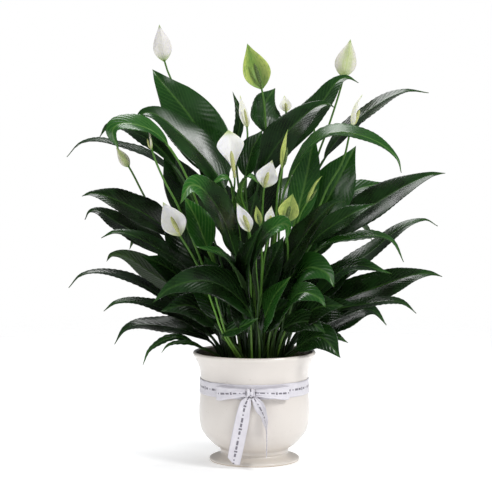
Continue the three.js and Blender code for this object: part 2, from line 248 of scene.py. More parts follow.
# %% World
AMBIENT_LIGHT = 0.5
MIRRORED_LIGHT = 0.16
world = bpy.data.worlds.new("studio_world")
bpy.context.scene.world = world
world.use_nodes = True
sky = world.node_tree
sky.nodes.clear()
backdrop = put(sky, "Background", Color=(1, 1, 1)).outputs[0]
ambient = put(sky, "Background", Color=(0.95, 0.97, 1), Strength=AMBIENT_LIGHT).outputs[0]
mirrored = put(sky, "Background", Color=(0.9, 0.95, 1), Strength=MIRRORED_LIGHT).outputs[0]
rays = put(sky, "LightPath").outputs
lit = put(sky, "MixShader", _0=rays["Is Glossy Ray"], _1=ambient, _2=mirrored).outputs[0]
seen = put(sky, "MixShader", _0=rays["Is Camera Ray"], _1=lit, _2=backdrop).outputs[0]
put(sky, "OutputWorld", Surface=seen)
print("studio ready")

# %% [markdown]
# ## Shared effects
# Two effects are used by several finishes. "mottle" is a slow drift of tone, as in glaze,
# leaf and moss. "blade_veins" draws a peace lily's veins: a midrib, side veins that leave it
# and sweep on towards the tip, and very fine lines between them. It reads the leaf's own
# measure, across and along in metres, so the veins keep their real spacing on every leaf.

# %% Effect groups
VEIN_GAP = 0.0125
VEIN_LEAN = 2.1
VEIN_SWEEP = 14.0
VEIN_WOBBLE = 0.0022
FINE_PER_VEIN = 5


def mottle_group():
    group, given, made = new_group(
        "mottle",
        [("Vector", "Vector", None), ("Scale", "Float", 20.0), ("Contrast", "Float", 1.0)],
        ["Value"])
    cloud = put(group, "TexNoise", Vector=given["Vector"], Scale=given["Scale"],
                Detail=4.0, Roughness=0.6).outputs[0]
    scaled = times(group, minus(group, cloud, 0.5), given["Contrast"])
    feed(group, made["Value"], clamped(group, plus(group, scaled, 0.5)))
    return group


def vein_group():
    group, given, made = new_group("blade_veins", [("Place", "Vector", None)],
                                   ["Midrib", "Side veins", "Fine lines"])
    x, y, _ = parts_of(group, given["Place"])
    across = maths(group, "ABSOLUTE", x)
    sweep = times(group, times(group, across, across), VEIN_SWEEP)
    wobble = put(group, "TexNoise", Vector=given["Place"], Scale=60.0, Detail=1.0).outputs[0]
    along = plus(group, y, times(group, minus(group, wobble, 0.5), VEIN_WOBBLE))
    rise = minus(group, minus(group, along, times(group, across, VEIN_LEAN)), sweep)
    wave = maths(group, "SINE", times(group, rise, TURN / VEIN_GAP))
    fine = maths(group, "SINE", times(group, rise, FINE_PER_VEIN * TURN / VEIN_GAP))
    feed(group, made["Midrib"], remap(group, across, 0.0024, 0.0006))
    feed(group, made["Side veins"], remap(group, wave, 0.45, 1.0))
    feed(group, made["Fine lines"], remap(group, fine, -1.0, 1.0))
    return group


MOTTLE = mottle_group()
VEINS = vein_group()


def effect(tree, group, **sockets):
    return put(tree, "Group", {"node_tree": group}, **sockets).outputs


def mottled(tree, scale, contrast=1.0):
    return effect(tree, MOTTLE, Vector=object_place(tree), Scale=scale,
                  Contrast=contrast)["Value"]


print("groups", MOTTLE.name, VEINS.name)

# %% [markdown]
# ## Leaf finishes
# The upper side of a peace lily leaf is dark green and waxy, and it puckers a little between
# its side veins. The underside is paler and duller. Young leaves are a fresher green, and
# leaves near the light are painted a fresher green as painted light, so every leaf carries its
# own "tone" from 0, old and dark, to 1. All leaves are painted a little lighter towards the
# tip, a painted highlight where the arched tips catch the light.

# %% Leaf materials
TIP_PAINTED_LIGHT = 0.22
CLOUD_SHARE = 0.35
VEIN_CLARITY = 0.9
MIDRIB_CLARITY = 3.0
FINE_RELIEF = 0.09
PUCKER = 0.0027


def leaf_finish(name, dark, fresh_lit_green, rib, line, rough, depth, **constants):
    material, tree = new_material(name, **constants)
    place, tone = blade_place(tree), own_tone(tree)
    veins = effect(tree, VEINS, Place=place)
    cloud = mottled(tree, 26.0, 2.0)
    # Painted light: every leaf is painted a little lighter towards its tip, where the arched tips
    # catch the light.
    near_tip = remap(tree, parts_of(tree, place)[2], 0.6, 1.0)
    lit_tip_tone = plus(tree, tone, times(tree, near_tip, TIP_PAINTED_LIGHT))
    drift = times(tree, minus(tree, cloud, 0.5), CLOUD_SHARE)
    # The tone blends dark to fresh green: partly the leaf's age, partly painted light.
    body = blend_colour(tree, clamped(tree, plus(tree, lit_tip_tone, drift)), dark, fresh_lit_green)
    clear = plus(tree, line, times(tree, times(tree, tone, tone), VEIN_CLARITY))
    lined = blend_colour(tree, times(tree, veins["Side veins"], clear), body, rib)
    rib_share = clamped(tree, times(tree, clear, MIDRIB_CLARITY))
    ribbed = blend_colour(tree, times(tree, veins["Midrib"], rib_share), lined, rib)
    height = plus(tree, veins["Side veins"], times(tree, veins["Fine lines"], FINE_RELIEF))
    dress(tree, Base_Color=ribbed, Roughness=plus(tree, rough, times(tree, cloud, 0.14)),
          Normal=bumped(tree, height, depth, PUCKER))
    return material


LEAF_TOP = leaf_finish("leaf_upper_side", (0.0034, 0.0076, 0.0022), (0.02, 0.115, 0.012),
                       (0.07, 0.17, 0.03), 0.07, 0.2, -1.0, Specular_IOR_Level=0.42)
LEAF_BACK = leaf_finish("leaf_underside", (0.006, 0.011, 0.003), (0.035, 0.11, 0.014),
                        (0.08, 0.16, 0.03), 0.1, 0.38, 1.0, Specular_IOR_Level=0.25)
print("leaf finishes", LEAF_TOP.name, LEAF_BACK.name)

# %% [markdown]
# A stalk is painted darkest where it leaves the soil, a painted shade under the leaves, and
# greener higher up. Stalks that catch the light are painted pale down to the foot, so the
# foot's colour follows the square of the tone.

# %% Stalk material
def stalk_finish():
    material, tree = new_material("leaf_stalk", Specular_IOR_Level=0.4)
    height, tone = parts_of(tree, blade_place(tree))[1], own_tone(tree)
    # Painted light: a high tone paints a lit stalk light green.
    fresh_lit_green = blend_colour(tree, tone, (0.012, 0.045, 0.008), (0.14, 0.34, 0.035))
    # Painted shade: the stalk's foot is painted dark, as the shade under the leaves. Bright stalks
    # get less of it.
    low = blend_colour(tree, times(tree, tone, tone), (0.007, 0.018, 0.004), (0.15, 0.3, 0.04))
    body = blend_colour(tree, remap(tree, height, 0.02, 0.14), low, fresh_lit_green)
    cloud = mottled(tree, 45.0, 1.6)
    drawn = blend_colour(tree, times(tree, cloud, 0.4), body, (0.012, 0.04, 0.008))
    grain = put(tree, "TexNoise", Vector=object_place(tree), Scale=1800.0, Detail=2.0)
    dress(tree, Base_Color=drawn, Roughness=remap(tree, cloud, 0.0, 1.0, 0.3, 0.5),
          Normal=bumped(tree, grain.outputs[0], 0.3, 0.0003))
    return material


LEAF_STALK = stalk_finish()
print("stalk finish", LEAF_STALK.name)

# %% [markdown]
# ## Smooth lines
# Every stalk, leaf, spathe and ribbon follows a smooth line through a few places. The line
# and the way its width runs are worked out as in the CAD model, so a finished piece lies
# where its node does. A Curve modifier would twist a blade on a nearly upright stalk, so
# each flat model is laid along its line by these functions.

# %% Lines and stations
LINE_STEPS = 12


def smooth_line(points, steps=LINE_STEPS):
    points = [Vector(p) for p in points]
    spans = [b - a for a, b in zip(points, points[1:])]
    headings = []
    for i in range(len(points)):
        way = Vector()
        for span in spans[max(i - 1, 0):i + 1]:
            way += span.normalized()
        headings.append(way.normalized())
    line = [points[0]]
    for i, span in enumerate(spans):
        reach = span.length / 3
        line += interpolate_bezier(points[i], points[i] + headings[i] * reach,
                                   points[i + 1] - headings[i + 1] * reach, points[i + 1],
                                   steps + 1)[1:]
    return line


class Path:
    """A line with its length, and the place and heading at any share of it."""

    def __init__(self, line):
        self.line = line
        self.along = [0.0]
        for a, b in zip(line, line[1:]):
            self.along.append(self.along[-1] + (b - a).length)
        self.length = self.along[-1]

    def find(self, share):
        """The line's point after this share of its length, and how near it is, from 0 to 1."""
        target = min(max(share, 0.0), 1.0) * self.length
        i = 1
        while i < len(self.line) - 1 and self.along[i] < target:
            i += 1
        return i, (target - self.along[i - 1]) / (self.along[i] - self.along[i - 1])

    def place(self, share):
        i, ratio = self.find(share)
        return self.line[i - 1].lerp(self.line[i], ratio)

    def heading(self, share):
        return (self.place(share + 0.01) - self.place(share - 0.01)).normalized()


def cross_directions(heading, side, turn=0.0):
    """The ways across and out of a blade that runs along heading, rolled by turn degrees."""
    flat = (side - heading * side.dot(heading)).normalized()
    top = heading.cross(flat)
    c, s = math.cos(math.radians(turn)), math.sin(math.radians(turn))
    return flat * c + top * s, top * c - flat * s


print("a test line of", len(smooth_line([(0, 0, 0), (0, 0, 1), (1, 0, 1)])), "points")

# %% [markdown]
# ## The flat leaf
# One leaf is modelled flat and straight, and every leaf of the plant is a copy of it. The
# blade is a grid with a thin wall, whose underside and rim take a second material. The stalk
# is a ring extruded again and again. It runs on under the blade as the raised midrib.
# In the flat model the blade lies at y from 0 to 1 and the stalk at y from -1 to 0.

# %% Model the flat leaf
FLAT_WALL = 0.02
ROD_RADIUS = 0.4


def flat_blade(name, across, along, finishes):
    bpy.ops.mesh.primitive_grid_add(x_subdivisions=across, y_subdivisions=along, size=1,
                                    location=(0, 0.5, 0))
    blade = bpy.context.object
    blade.name = name
    settle()
    for finish in finishes:
        blade.data.materials.append(finish)
    apply_modifier(blade, "SOLIDIFY", thickness=FLAT_WALL, offset=0, use_rim=True,
                   material_offset=1, material_offset_rim=1)
    return blade


def flat_rod(name, rings, sides, finish):
    bpy.ops.mesh.primitive_circle_add(vertices=sides, radius=ROD_RADIUS, fill_type="NGON",
                                      location=(0, -1, 0), rotation=(math.pi / 2, 0, 0))
    rod = bpy.context.object
    rod.name = name
    settle()
    bpy.ops.object.mode_set(mode="EDIT")
    bpy.ops.mesh.select_mode(type="FACE")
    bpy.ops.mesh.select_all(action="SELECT")
    for _ in range(rings):
        bpy.ops.mesh.extrude_region_move(
            TRANSFORM_OT_translate={"value": (0, 0.999 / rings, 0)})
    bpy.ops.mesh.select_all(action="SELECT")
    bpy.ops.mesh.normals_make_consistent(inside=False)
    bpy.ops.object.mode_set(mode="OBJECT")
    rod.data.materials.append(finish)
    return rod


FLAT_LEAF = flat_blade("flat_leaf", 26, 90, [LEAF_TOP, LEAF_BACK])
leaf_rod = flat_rod("flat_leaf_stalk", 34, 10, LEAF_STALK)
only(FLAT_LEAF, leaf_rod)
bpy.ops.object.join()
bpy.ops.object.shade_smooth()
print("flat leaf", len(FLAT_LEAF.data.vertices), "points")

# %% [markdown]
# ## The form of a leaf
# A leaf is widest below its middle and ends in a drawn-out tip. The halves of the blade rise
# from the midrib, the margins ripple, and the surface swells between the side veins. The
# stalk thickens at the neck, where the blade starts.

# %% Outline and relief
STALK_SHARE = 0.6
STALK_FOOT, STALK_TOP, MIDRIB_TIP = 2.7, 1.6, 0.25
TIP_FROM = 0.7
RIPPLE, RIPPLES = 0.045, 2.3
BUCKLE = 0.09
SWELL = 0.0005


def leaf_outline(v):
    """The blade's half width at v, from 0 at the base to 1 at the tip, as a share."""
    body = math.sin(math.pi * min(v, 1.0) ** 0.72)
    pinch = 1 - 0.3 * max(0.0, (v - TIP_FROM) / (1 - TIP_FROM))
    return max(body * pinch, 0.05 * (1 - v))


def leaf_relief(u, v, half, length, seed):
    rise = half * (0.26 * abs(u) - 0.1 * u * u)
    window = math.sin(math.pi * v) ** 0.5 if 0 < v < 1 else 0
    margin = 1.9 if u > 0 else 0
    ripple = RIPPLE * half * u * u * math.sin(TURN * (RIPPLES * v + seed) + margin)
    buckle = BUCKLE * half * noise.noise(Vector((0.9 * u + 7 * seed, 3.1 * v, 5.3 * seed)))
    across = abs(u) * half * leaf_outline(v)
    vein = v * length - VEIN_LEAN * across - VEIN_SWEEP * across * across
    swell = SWELL * math.cos(TURN * vein / VEIN_GAP) * min(1.0, 3 * abs(u))
    return rise + window * (ripple + buckle + swell)


def stalk_radius(share):
    neck = 1 + 0.3 * math.exp(-((share - STALK_SHARE + 0.02) / 0.02) ** 2)
    if share <= STALK_SHARE:
        return 0.001 * (STALK_FOOT - share / STALK_SHARE * (STALK_FOOT - STALK_TOP)) * neck
    over = (share - STALK_SHARE) / (1 - STALK_SHARE)
    return 0.001 * max(MIDRIB_TIP, STALK_TOP - 1.5 * over)


print("widest share", round(max(leaf_outline(i / 100) for i in range(101)), 3))

# %% [markdown]
# ## Laying a leaf
# A copy of the flat leaf gets its own outline, and each of its points is carried to its
# place along the leaf's line. Two point attributes go with it: "blade", the place across and
# along in metres, and "tone". A tone below zero is a dark leaf with a painted highlight on its
# tip, a lighter green where the drooping tip catches the light.

# %% Lay a leaf along its line
FOOT_HEIGHT = 152.3
KNEE_OUT, KNEE_UP = 0.34, 0.55
LEAF_WALL = 0.0007
# Painted highlight on the tips of leaves whose tone is below zero: how strong it is, where it
# starts and how far it grows.
PAINTED_TIP_HIGHLIGHT, TIP_HIGHLIGHT_FROM, TIP_HIGHLIGHT_SPAN = 0.8, 0.62, 0.16
MIDRIB_ENDS = 0.9


def copied(flat, name):
    copy = flat.copy()
    copy.data = flat.data.copy()
    copy.name = copy.data.name = name
    bpy.context.collection.objects.link(copy)
    return copy


def set_points(mesh, places, blade, tone):
    """Places the points and stores where each lies on its blade, and its tone, with a painted
    highlight on the tip when the tone is below zero.
    """
    # A tone below zero adds the painted tip highlight.
    tip = PAINTED_TIP_HIGHLIGHT if tone < 0 else 0.0
    tones = [abs(tone) + tip * min(1.0, max(0.0, (share - TIP_HIGHLIGHT_FROM) / TIP_HIGHLIGHT_SPAN))
             for _, _, share in blade]
    mesh.vertices.foreach_set("co", [c for place in places for c in place])
    mesh.attributes.new("blade", "FLOAT_VECTOR", "POINT").data.foreach_set(
        "vector", [c for place in blade for c in place])
    mesh.attributes.new("tone", "FLOAT", "POINT").data.foreach_set("value", tones)
    mesh.update()


def lay_leaf(name, root, blade, width, turn, tone, seed):
    laid = copied(FLAT_LEAF, name)
    points = [metres(p) for p in blade]
    foot = metres((*root, FOOT_HEIGHT))
    base, tip = points[0], points[-1]
    knee = Vector((foot.x + (base.x - foot.x) * KNEE_OUT,
                   foot.y + (base.y - foot.y) * KNEE_OUT,
                   foot.z + (base.z - foot.z) * KNEE_UP))
    outward = (tip - base) * Vector((1, 1, 0))
    side = UP.cross(outward.normalized())
    facing = -turn if outward.x < 0 else turn
    line = smooth_line([foot, knee, *points])
    stalk, leaf = Path(line[:2 * LINE_STEPS + 1]), Path(line[2 * LINE_STEPS:])
    half = width / 2000

    def blade_row(y):
        return leaf.place(y), *cross_directions(leaf.heading(y), side, facing)

    def stalk_row(share):
        if share <= STALK_SHARE:
            t = share / STALK_SHARE
            heading = UP if share < 0.001 else stalk.heading(t)
            return stalk.place(t), *cross_directions(heading, side)
        t = MIDRIB_ENDS * (share - STALK_SHARE) / (1 - STALK_SHARE)
        across, top = cross_directions(leaf.heading(t), side, facing)
        drop = min(1.0, t * 12) * (0.7 * stalk_radius(share) + 0.0002)
        return leaf.place(t) - top * drop, across, top

    rows, places, measures = {}, [], []
    for vertex in laid.data.vertices:
        x, y, z = vertex.co
        key = round(y, 5)
        if key not in rows:
            rows[key] = blade_row(y) if y >= 0 else stalk_row(y + 1)
        at, across, top = rows[key]
        if y >= 0:
            u, outline = 2 * x, leaf_outline(y)
            wide = half * outline
            lift = leaf_relief(u, y, half, leaf.length, seed) * (0.15 + 0.85 * outline)
            wall = LEAF_WALL / 2 * (1 if z > 0 else -1)
            places.append(at + across * (u * wide) + top * (lift + wall))
            measures.append((u * wide, y * leaf.length, y))
        else:
            share = y + 1
            radius = stalk_radius(share) / ROD_RADIUS
            places.append(at + across * (x * radius) + top * (z * radius))
            climbed = min(share, STALK_SHARE) / STALK_SHARE * stalk.length
            measures.append((0.03, climbed, share))
    set_points(laid.data, places, measures, tone)
    return laid


print("leaf copies have", len(FLAT_LEAF.data.polygons), "faces each")

# %% [markdown]
# ## The leaves of the CAD model
# Each row repeats a CAD leaf: its number, where its stalk leaves the soil, its blade's
# middle line from base to tip, its width, how far it turns to the front, and its tone.

# %% Leaf table
LEAVES = [
    (1, (-14, 24), [(-47, 33, 435), (-95, 50, 527), (-149, 62, 594), (-161, 80, 610)], 84, 78, 0.4),
    (2, (-22, 6),
     [(-46, -1, 423), (-115, -14, 510), (-167, -22, 541), (-185, -26, 522)], 68, 50, 0.2),
    (3, (-36, 2),
     [(-122, -25, 459), (-178, -34, 509), (-221, -36, 521), (-236, -38, 504)], 56, 28, 0.15),
    (4, (-34, 12),
     [(-127, 31, 446), (-219, 44, 492), (-272, 48, 494), (-295, 48, 472)], 46, 10, 0.12),
    (5, (-28, 18), [(-69, 15, 358), (-116, 20, 436), (-143, 26, 489)], 68, 78, 0.1),
    (6, (1, 36), [(18, 68, 509), (16, 78, 553), (33, 84, 581)], 64, 84, 0.3),
    (7, (10, 28), [(7, 25, 434), (65, 34, 524), (113, 42, 555), (126, 44, 549)], 66, 44, 0.1),
    (8, (15, 30), [(49, 56, 474), (108, 74, 559), (145, 84, 597), (166, 86, 589)], 50, 42, 0.25),
    (9, (28, -4),
     [(51, -21, 435), (112, -40, 509), (170, -52, 504), (215, -60, 472), (222, -62, 450)],
     52, 22, 0.45),
    (10, (30, 30), [(111, 54, 470), (174, 68, 538), (239, 76, 575), (277, 78, 573)], 44, 22, 0.12),
    (11, (24, 22), [(96, 32, 369), (134, 28, 442), (159, 24, 490)], 72, 80, 0.45),
    (12, (18, 4), [(60, 1, 363), (80, 4, 440), (94, 8, 518)], 46, 80, 0.6),
    (13, (38, 6), [(106, 8, 335), (205, 14, 410), (274, 18, 444), (298, 20, 447)], 64, 42, 0.08),
    (14, (26, -22),
     [(33, -41, 277), (81, -66, 361), (122, -80, 405), (136, -84, 407)], 68, 46, 0.05),
    (15, (36, 26), [(81, 32, 241), (176, 46, 316), (269, 58, 372), (291, 60, 362)], 48, 24, 0.15),
    (16, (44, -12), [(91, -14, 253), (150, -18, 305), (212, -20, 293)], 46, 30, 0.3),
    (17, (46, 2), [(91, 3, 223), (198, 6, 272), (273, 8, 291), (293, 8, 286)], 66, 42, 0.08),
    (18, (47, 13), [(67, 21, 184), (134, 34, 218), (185, 42, 230), (209, 44, 206)], 64, 36, 0.15),
    (19, (40, -34), [(64, -47, 181), (100, -72, 201), (130, -88, 171)], 50, 55, 0.15),
    (20, (10, -46), [(11, -66, 207), (30, -100, 265), (54, -118, 297)], 50, 76, 0.5),
    (21, (22, -46),
     [(38, -80, 224), (71, -122, 273), (96, -136, 266), (105, -142, 253)], 50, 46, 0.35),
    (22, (26, -30),
     [(44, -45, 247), (80, -84, 307), (109, -104, 300), (119, -112, 280)], 64, 56, 0.4),
    (23, (-12, -36),
     [(-29, -69, 325), (-61, -110, 406), (-93, -138, 434), (-110, -154, 407)], 66, 72, -0.08),
    (24, (-4, -44), [(-11, -76, 255), (-46, -120, 328), (-88, -136, 343)], 50, 32, 0.25),
    (25, (2, -50), [(5, -93, 254), (8, -142, 350), (48, -168, 377), (45, -178, 351)], 62, 72, -0.1),
    (26, (-42, 3),
     [(-124, 2, 349), (-200, -2, 400), (-253, -4, 416), (-267, -4, 412)], 62, 42, 0.02),
    (27, (-44, 18),
     [(-132, 26, 315), (-214, 38, 368), (-257, 44, 387), (-267, 46, 373)], 52, 34, 0.02),
    (28, (-40, -10),
     [(-74, -23, 272), (-157, -40, 338), (-211, -46, 359), (-234, -48, 350)], 50, 28, 0.1),
    (29, (-37, 30),
     [(-66, 43, 215), (-162, 70, 286), (-227, 80, 315), (-236, 80, 304)], 70, -56, 0.15),
    (30, (-46, -4),
     [(-99, -10, 222), (-204, -22, 289), (-265, -26, 292), (-286, -28, 272)], 44, 14, 0.05),
    (31, (-44, -20),
     [(-71, -37, 201), (-155, -62, 248), (-210, -68, 253), (-229, -70, 240)], 46, 22, 0.05),
    (32, (-52, 8),
     [(-70, 11, 185), (-144, 14, 209), (-200, 16, 204), (-219, 16, 179)], 48, 24, 0.05),
    (33, (9, 49), [(28, 104, 372), (38, 172, 430), (44, 228, 424), (46, 250, 396)], 62, 0, 0.3),
    (34, (-12, 46),
     [(-34, 108, 350), (-58, 172, 396), (-82, 226, 388), (-90, 244, 364)], 60, 0, 0.3),
    (35, (37, 37), [(88, 96, 330), (138, 146, 366), (184, 186, 352), (196, 198, 330)], 56, 0, 0.3),
    (36, (-30, 38),
     [(-94, 96, 312), (-144, 142, 346), (-194, 178, 336), (-206, 188, 316)], 56, 0, 0.3),
    (37, (-18, 50),
     [(-34, 112, 250), (-56, 178, 276), (-76, 232, 256), (-82, 246, 230)], 52, 0, 0.3),
    (38, (14, 52), [(38, 116, 240), (60, 182, 262), (80, 236, 240), (84, 250, 214)], 52, 0, 0.3),
]

for number, root, blade, width, turn, tone in LEAVES:
    leaf = lay_leaf(f"lily_leaf_{number:02d}", root, blade, width, turn, tone, 0.137 * number)
    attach(leaf, "root")
    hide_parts(f"leaf_{number:02d}")
print(len(LEAVES), "leaves laid over their nodes")

# %% [markdown]
# ## More leaves
# A full plant has many more small leaves low in the middle, and they close the gaps between
# the stalks. They are laid the same way and joined into seven bunches. Their rows are as
# above, without a number.

# %% Extra leaves
EXTRA_LEAVES = {
    "heart_leaves": [
        ((-18, -20), [(-71, -52, 332), (-86, -60, 375), (-107, -66, 415)], 50, 74, 0.75),
        ((-26, 2), [(-90, -8, 311), (-115, -12, 348), (-136, -14, 391)], 54, 80, 0.1),
        ((2, -10), [(-13, -30, 269), (-19, -40, 313), (-37, -46, 359)], 50, 82, 0.1),
        ((10, -14), [(11, -34, 267), (27, -44, 313), (45, -50, 353)], 50, 82, 0.1),
        ((16, -20), [(27, -50, 256), (54, -60, 290), (75, -66, 315)], 46, 76, 0.1),
        ((22, 0), [(40, 0, 282), (71, 4, 328), (105, 6, 365)], 56, 72, 0.15),
        ((-10, -22), [(-43, -46, 256), (-62, -56, 290), (-77, -60, 324)], 48, 80, 0.25),
        ((-4, 8), [(-29, 10, 343), (-41, 16, 396), (-60, 20, 443)], 56, 80, 0.08),
        ((6, 14), [(6, 30, 374), (12, 36, 420), (25, 40, 470)], 54, 80, 0.12),
        ((0, 4), [(-13, 4, 328), (-7, 8, 375), (3, 10, 421)], 52, 84, 0.08),
    ],
    "left_leaves": [
        ((-36, -14),
         [(-132, -52, 492), (-170, -66, 521), (-212, -74, 518), (-204, -80, 485)], 46, 34, 0.7),
        ((-8, -48),
         [(-4, -86, 233), (-61, -106, 288), (-123, -118, 281), (-152, -120, 258)], 54, 56, 0.12),
        ((-38, -2), [(-90, -10, 252), (-130, -16, 299), (-176, -18, 321)], 50, 60, 0.08),
        ((-34, -26), [(-68, -50, 229), (-104, -60, 257), (-143, -66, 270)], 42, 50, 0.1),
        ((-48, -8),
         [(-90, -20, 182), (-120, -26, 195), (-160, -30, 177), (-172, -32, 153)], 22, 20, 0.4),
        ((-46, -24),
         [(-77, -40, 179), (-101, -48, 189), (-132, -54, 186), (-142, -56, 175)], 16, 20, 0.35),
        ((-30, 20), [(-85, 30, 264), (-123, 36, 307), (-164, 40, 342)], 54, 60, 0.05),
        ((-26, 30), [(-76, 50, 341), (-108, 58, 381), (-133, 62, 419)], 50, 70, 0.1),
    ],
    "right_leaves": [
        ((34, 20), [(120, 52, 379), (162, 66, 419), (210, 78, 431)], 48, 30, 0.35),
        ((34, -8), [(88, -22, 339), (140, -30, 381), (186, -36, 403)], 44, 45, 0.2),
        ((40, -4),
         [(97, -44, 333), (148, -50, 350), (206, -54, 348), (227, -56, 314)], 36, 18, 0.3),
        ((42, -24),
         [(124, -40, 237), (182, -48, 250), (224, -52, 252), (247, -54, 235)], 38, 20, 0.1),
        ((40, 10), [(80, 10, 250), (118, 16, 281), (159, 20, 308)], 50, 60, 0.1),
        ((44, -20), [(88, -30, 220), (124, -40, 240), (161, -46, 246)], 44, 50, 0.08),
        ((36, 6), [(71, 10, 312), (109, 14, 356), (149, 18, 384)], 54, 62, 0.1),
        ((46, -6), [(95, -12, 184), (119, -18, 197), (145, -22, 186)], 22, 30, 0.3),
        ((30, 24), [(72, 50, 372), (107, 58, 410), (142, 62, 441)], 50, 60, 0.15),
    ],
    "top_leaves": [
        ((2, 10), [(-13, -6, 443), (-5, -12, 481), (13, -20, 515)], 50, 70, 0.25),
        ((-4, 30), [(-29, 50, 483), (-22, 60, 537), (-34, 66, 575)], 22, 60, 0.3),
        ((8, 34), [(12, 60, 451), (35, 66, 499), (57, 70, 537)], 44, 70, 0.1),
        ((-10, 26), [(-51, 40, 420), (-70, 46, 467), (-89, 50, 502)], 46, 70, 0.12),
    ],
    "front_leaves": [
        ((-6, 0),
         [(-28, -20, 384), (-33, -44, 417), (-43, -52, 442), (-69, -58, 430)], 24, 40, 0.8),
        ((4, 0), [(-13, -20, 384), (-21, -44, 420), (-8, -52, 445), (7, -58, 433)], 24, 40, 0.8),
        ((6, -46),
         [(-7, -92, 251), (-13, -112, 313), (2, -128, 358), (11, -134, 373)], 58, 86, 0.04),
        ((-12, -52), [(-49, -80, 205), (-22, -94, 218), (6, -102, 233)], 28, 50, 0.3),
        ((-30, -38), [(-61, -72, 219), (-97, -84, 250), (-142, -90, 242)], 46, 56, 0.08),
        ((-24, -44), [(-49, -84, 232), (-73, -92, 266), (-103, -96, 287)], 44, 74, 0.15),
        ((34, -40), [(63, -70, 219), (95, -84, 247), (134, -92, 251)], 46, 60, 0.06),
        ((12, -52), [(11, -76, 210), (32, -88, 242), (62, -94, 260)], 44, 70, 0.08),
        ((30, -44), [(44, -74, 213), (77, -88, 227), (107, -96, 210)], 40, 52, 0.1),
        ((-2, -50), [(-10, -78, 211), (-25, -88, 251), (-46, -94, 275)], 44, 76, 0.06),
    ],
    "low_leaves": [
        ((-20, -8), [(-44, -20, 207), (-62, -24, 235), (-90, -26, 260)], 44, 70, 0.02),
        ((-8, 12), [(-29, 20, 202), (-35, 24, 241), (-44, 26, 280)], 50, 84, 0.02),
        ((6, 10), [(-1, 20, 202), (6, 24, 241), (15, 26, 277)], 50, 84, 0.02),
        ((16, 14), [(24, 20, 202), (40, 24, 239), (59, 26, 267)], 48, 80, 0.02),
        ((28, 4), [(49, 0, 202), (71, 4, 229), (99, 6, 251)], 46, 70, 0.02),
        ((-28, 12), [(-60, 20, 196), (-85, 24, 224), (-116, 26, 242)], 46, 70, 0.02),
        ((-2, -22), [(-22, -30, 199), (-31, -36, 227), (-44, -40, 249)], 36, 80, 0.05),
        ((30, 22), [(53, 40, 219), (78, 46, 256), (110, 50, 284)], 50, 70, 0.03),
        ((-32, 20), [(-63, 40, 216), (-92, 46, 247), (-120, 50, 271)], 48, 66, 0.03),
    ],
    "inner_leaves": [
        ((0, 24), [(-16, 40, 216), (-18, 46, 269), (-22, 50, 316)], 54, 84, 0.03),
        ((14, 26), [(12, 44, 222), (25, 50, 271), (41, 54, 318)], 54, 82, 0.03),
        ((-16, 26), [(-41, 44, 222), (-57, 50, 268), (-73, 54, 312)], 54, 80, 0.03),
        ((4, 34), [(-7, 60, 245), (-3, 68, 305), (-7, 72, 362)], 56, 84, 0.05),
        ((20, 34), [(25, 62, 251), (47, 70, 305), (73, 74, 352)], 54, 78, 0.05),
        ((-18, 34), [(-42, 62, 251), (-64, 70, 305), (-86, 74, 352)], 54, 78, 0.05),
    ],
}


def joined(name, things):
    only(*things)
    bpy.ops.object.join()
    whole = bpy.context.object
    whole.name = whole.data.name = name
    return whole


for name, rows in EXTRA_LEAVES.items():
    bunch = joined(name, [lay_leaf(f"{name}_{i}", *row, 0.211 * i + 0.3)
                          for i, row in enumerate(rows)])
    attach(bunch, "root")
    print(name, len(rows), "leaves")
bpy.data.objects.remove(FLAT_LEAF)

# %% [markdown]
# ## Flower finishes
# The "petal" of a peace lily is one leaf-like spathe. It is white with faint green veins that
# run from the base to the tip, and its tip and base stay green. A spathe with the light
# behind it looks a little lilac and shows its veins more. One that has only just opened, or
# is ageing, is green. The tone says how far the green has spread from the middle.

# %% Spathe materials
VEIN_WAVES = 32.0
STREAK_SCALE = (2.6, 5.5)


def spathe_finish(name, body, aged, vein, vein_strength, end, glow):
    # Emission is a painted glow: the spathe shines a little by itself. The glow number sets it and
    # the spathe's translucency.
    material, tree = new_material(
        name, Specular_IOR_Level=0.35, Subsurface_Weight=glow, Subsurface_Scale=0.005,
        Subsurface_Radius=(1.0, 1.0, 0.6), Emission_Strength=0.14 * glow,
        Emission_Color=(1.0, 0.96, 0.88))
    u, v, width = parts_of(tree, blade_place(tree))
    tone, cloud = own_tone(tree), mottled(tree, 60.0, 1.5)
    off_middle = maths(tree, "ABSOLUTE", u)
    thin = remap(tree, maths(tree, "SINE", times(tree, u, VEIN_WAVES)), 0.35, 1.0)
    stretched = put(tree, "CombineXYZ", X=times(tree, u, STREAK_SCALE[0]),
                    Y=times(tree, v, STREAK_SCALE[1]), Z=width).outputs[0]
    patches = put(tree, "TexNoise", Vector=stretched, Scale=1.6, Detail=3.0).outputs[0]
    streaks = times(tree, plus(tree, thin, 0.35), remap(tree, patches, 0.42, 0.6))
    lines = maths(tree, "MAXIMUM", times(tree, streaks, 0.75), remap(tree, off_middle, 0.1, 0.0))
    weight = plus(tree, vein_strength, times(tree, tone, 0.55))
    plain = blend_colour(tree, times(tree, tone, 0.6), body, aged)
    core = times(tree, remap(tree, off_middle, 0.95, 0.2), tone)
    flushed = blend_colour(tree, times(tree, core, 0.95), plain, vein)
    drawn = blend_colour(tree, times(tree, lines, weight), flushed, vein)
    ends = maths(tree, "MAXIMUM", remap(tree, v, 0.26, 0.0), remap(tree, v, 0.84, 0.98))
    ended = blend_colour(tree, times(tree, ends, 0.85), drawn, end)
    dress(tree, Base_Color=blend_colour(tree, times(tree, cloud, 0.12), ended, vein),
          Roughness=remap(tree, cloud, 0.0, 1.0, 0.38, 0.55),
          Normal=bumped(tree, lines, 0.5, 0.0004))
    return material


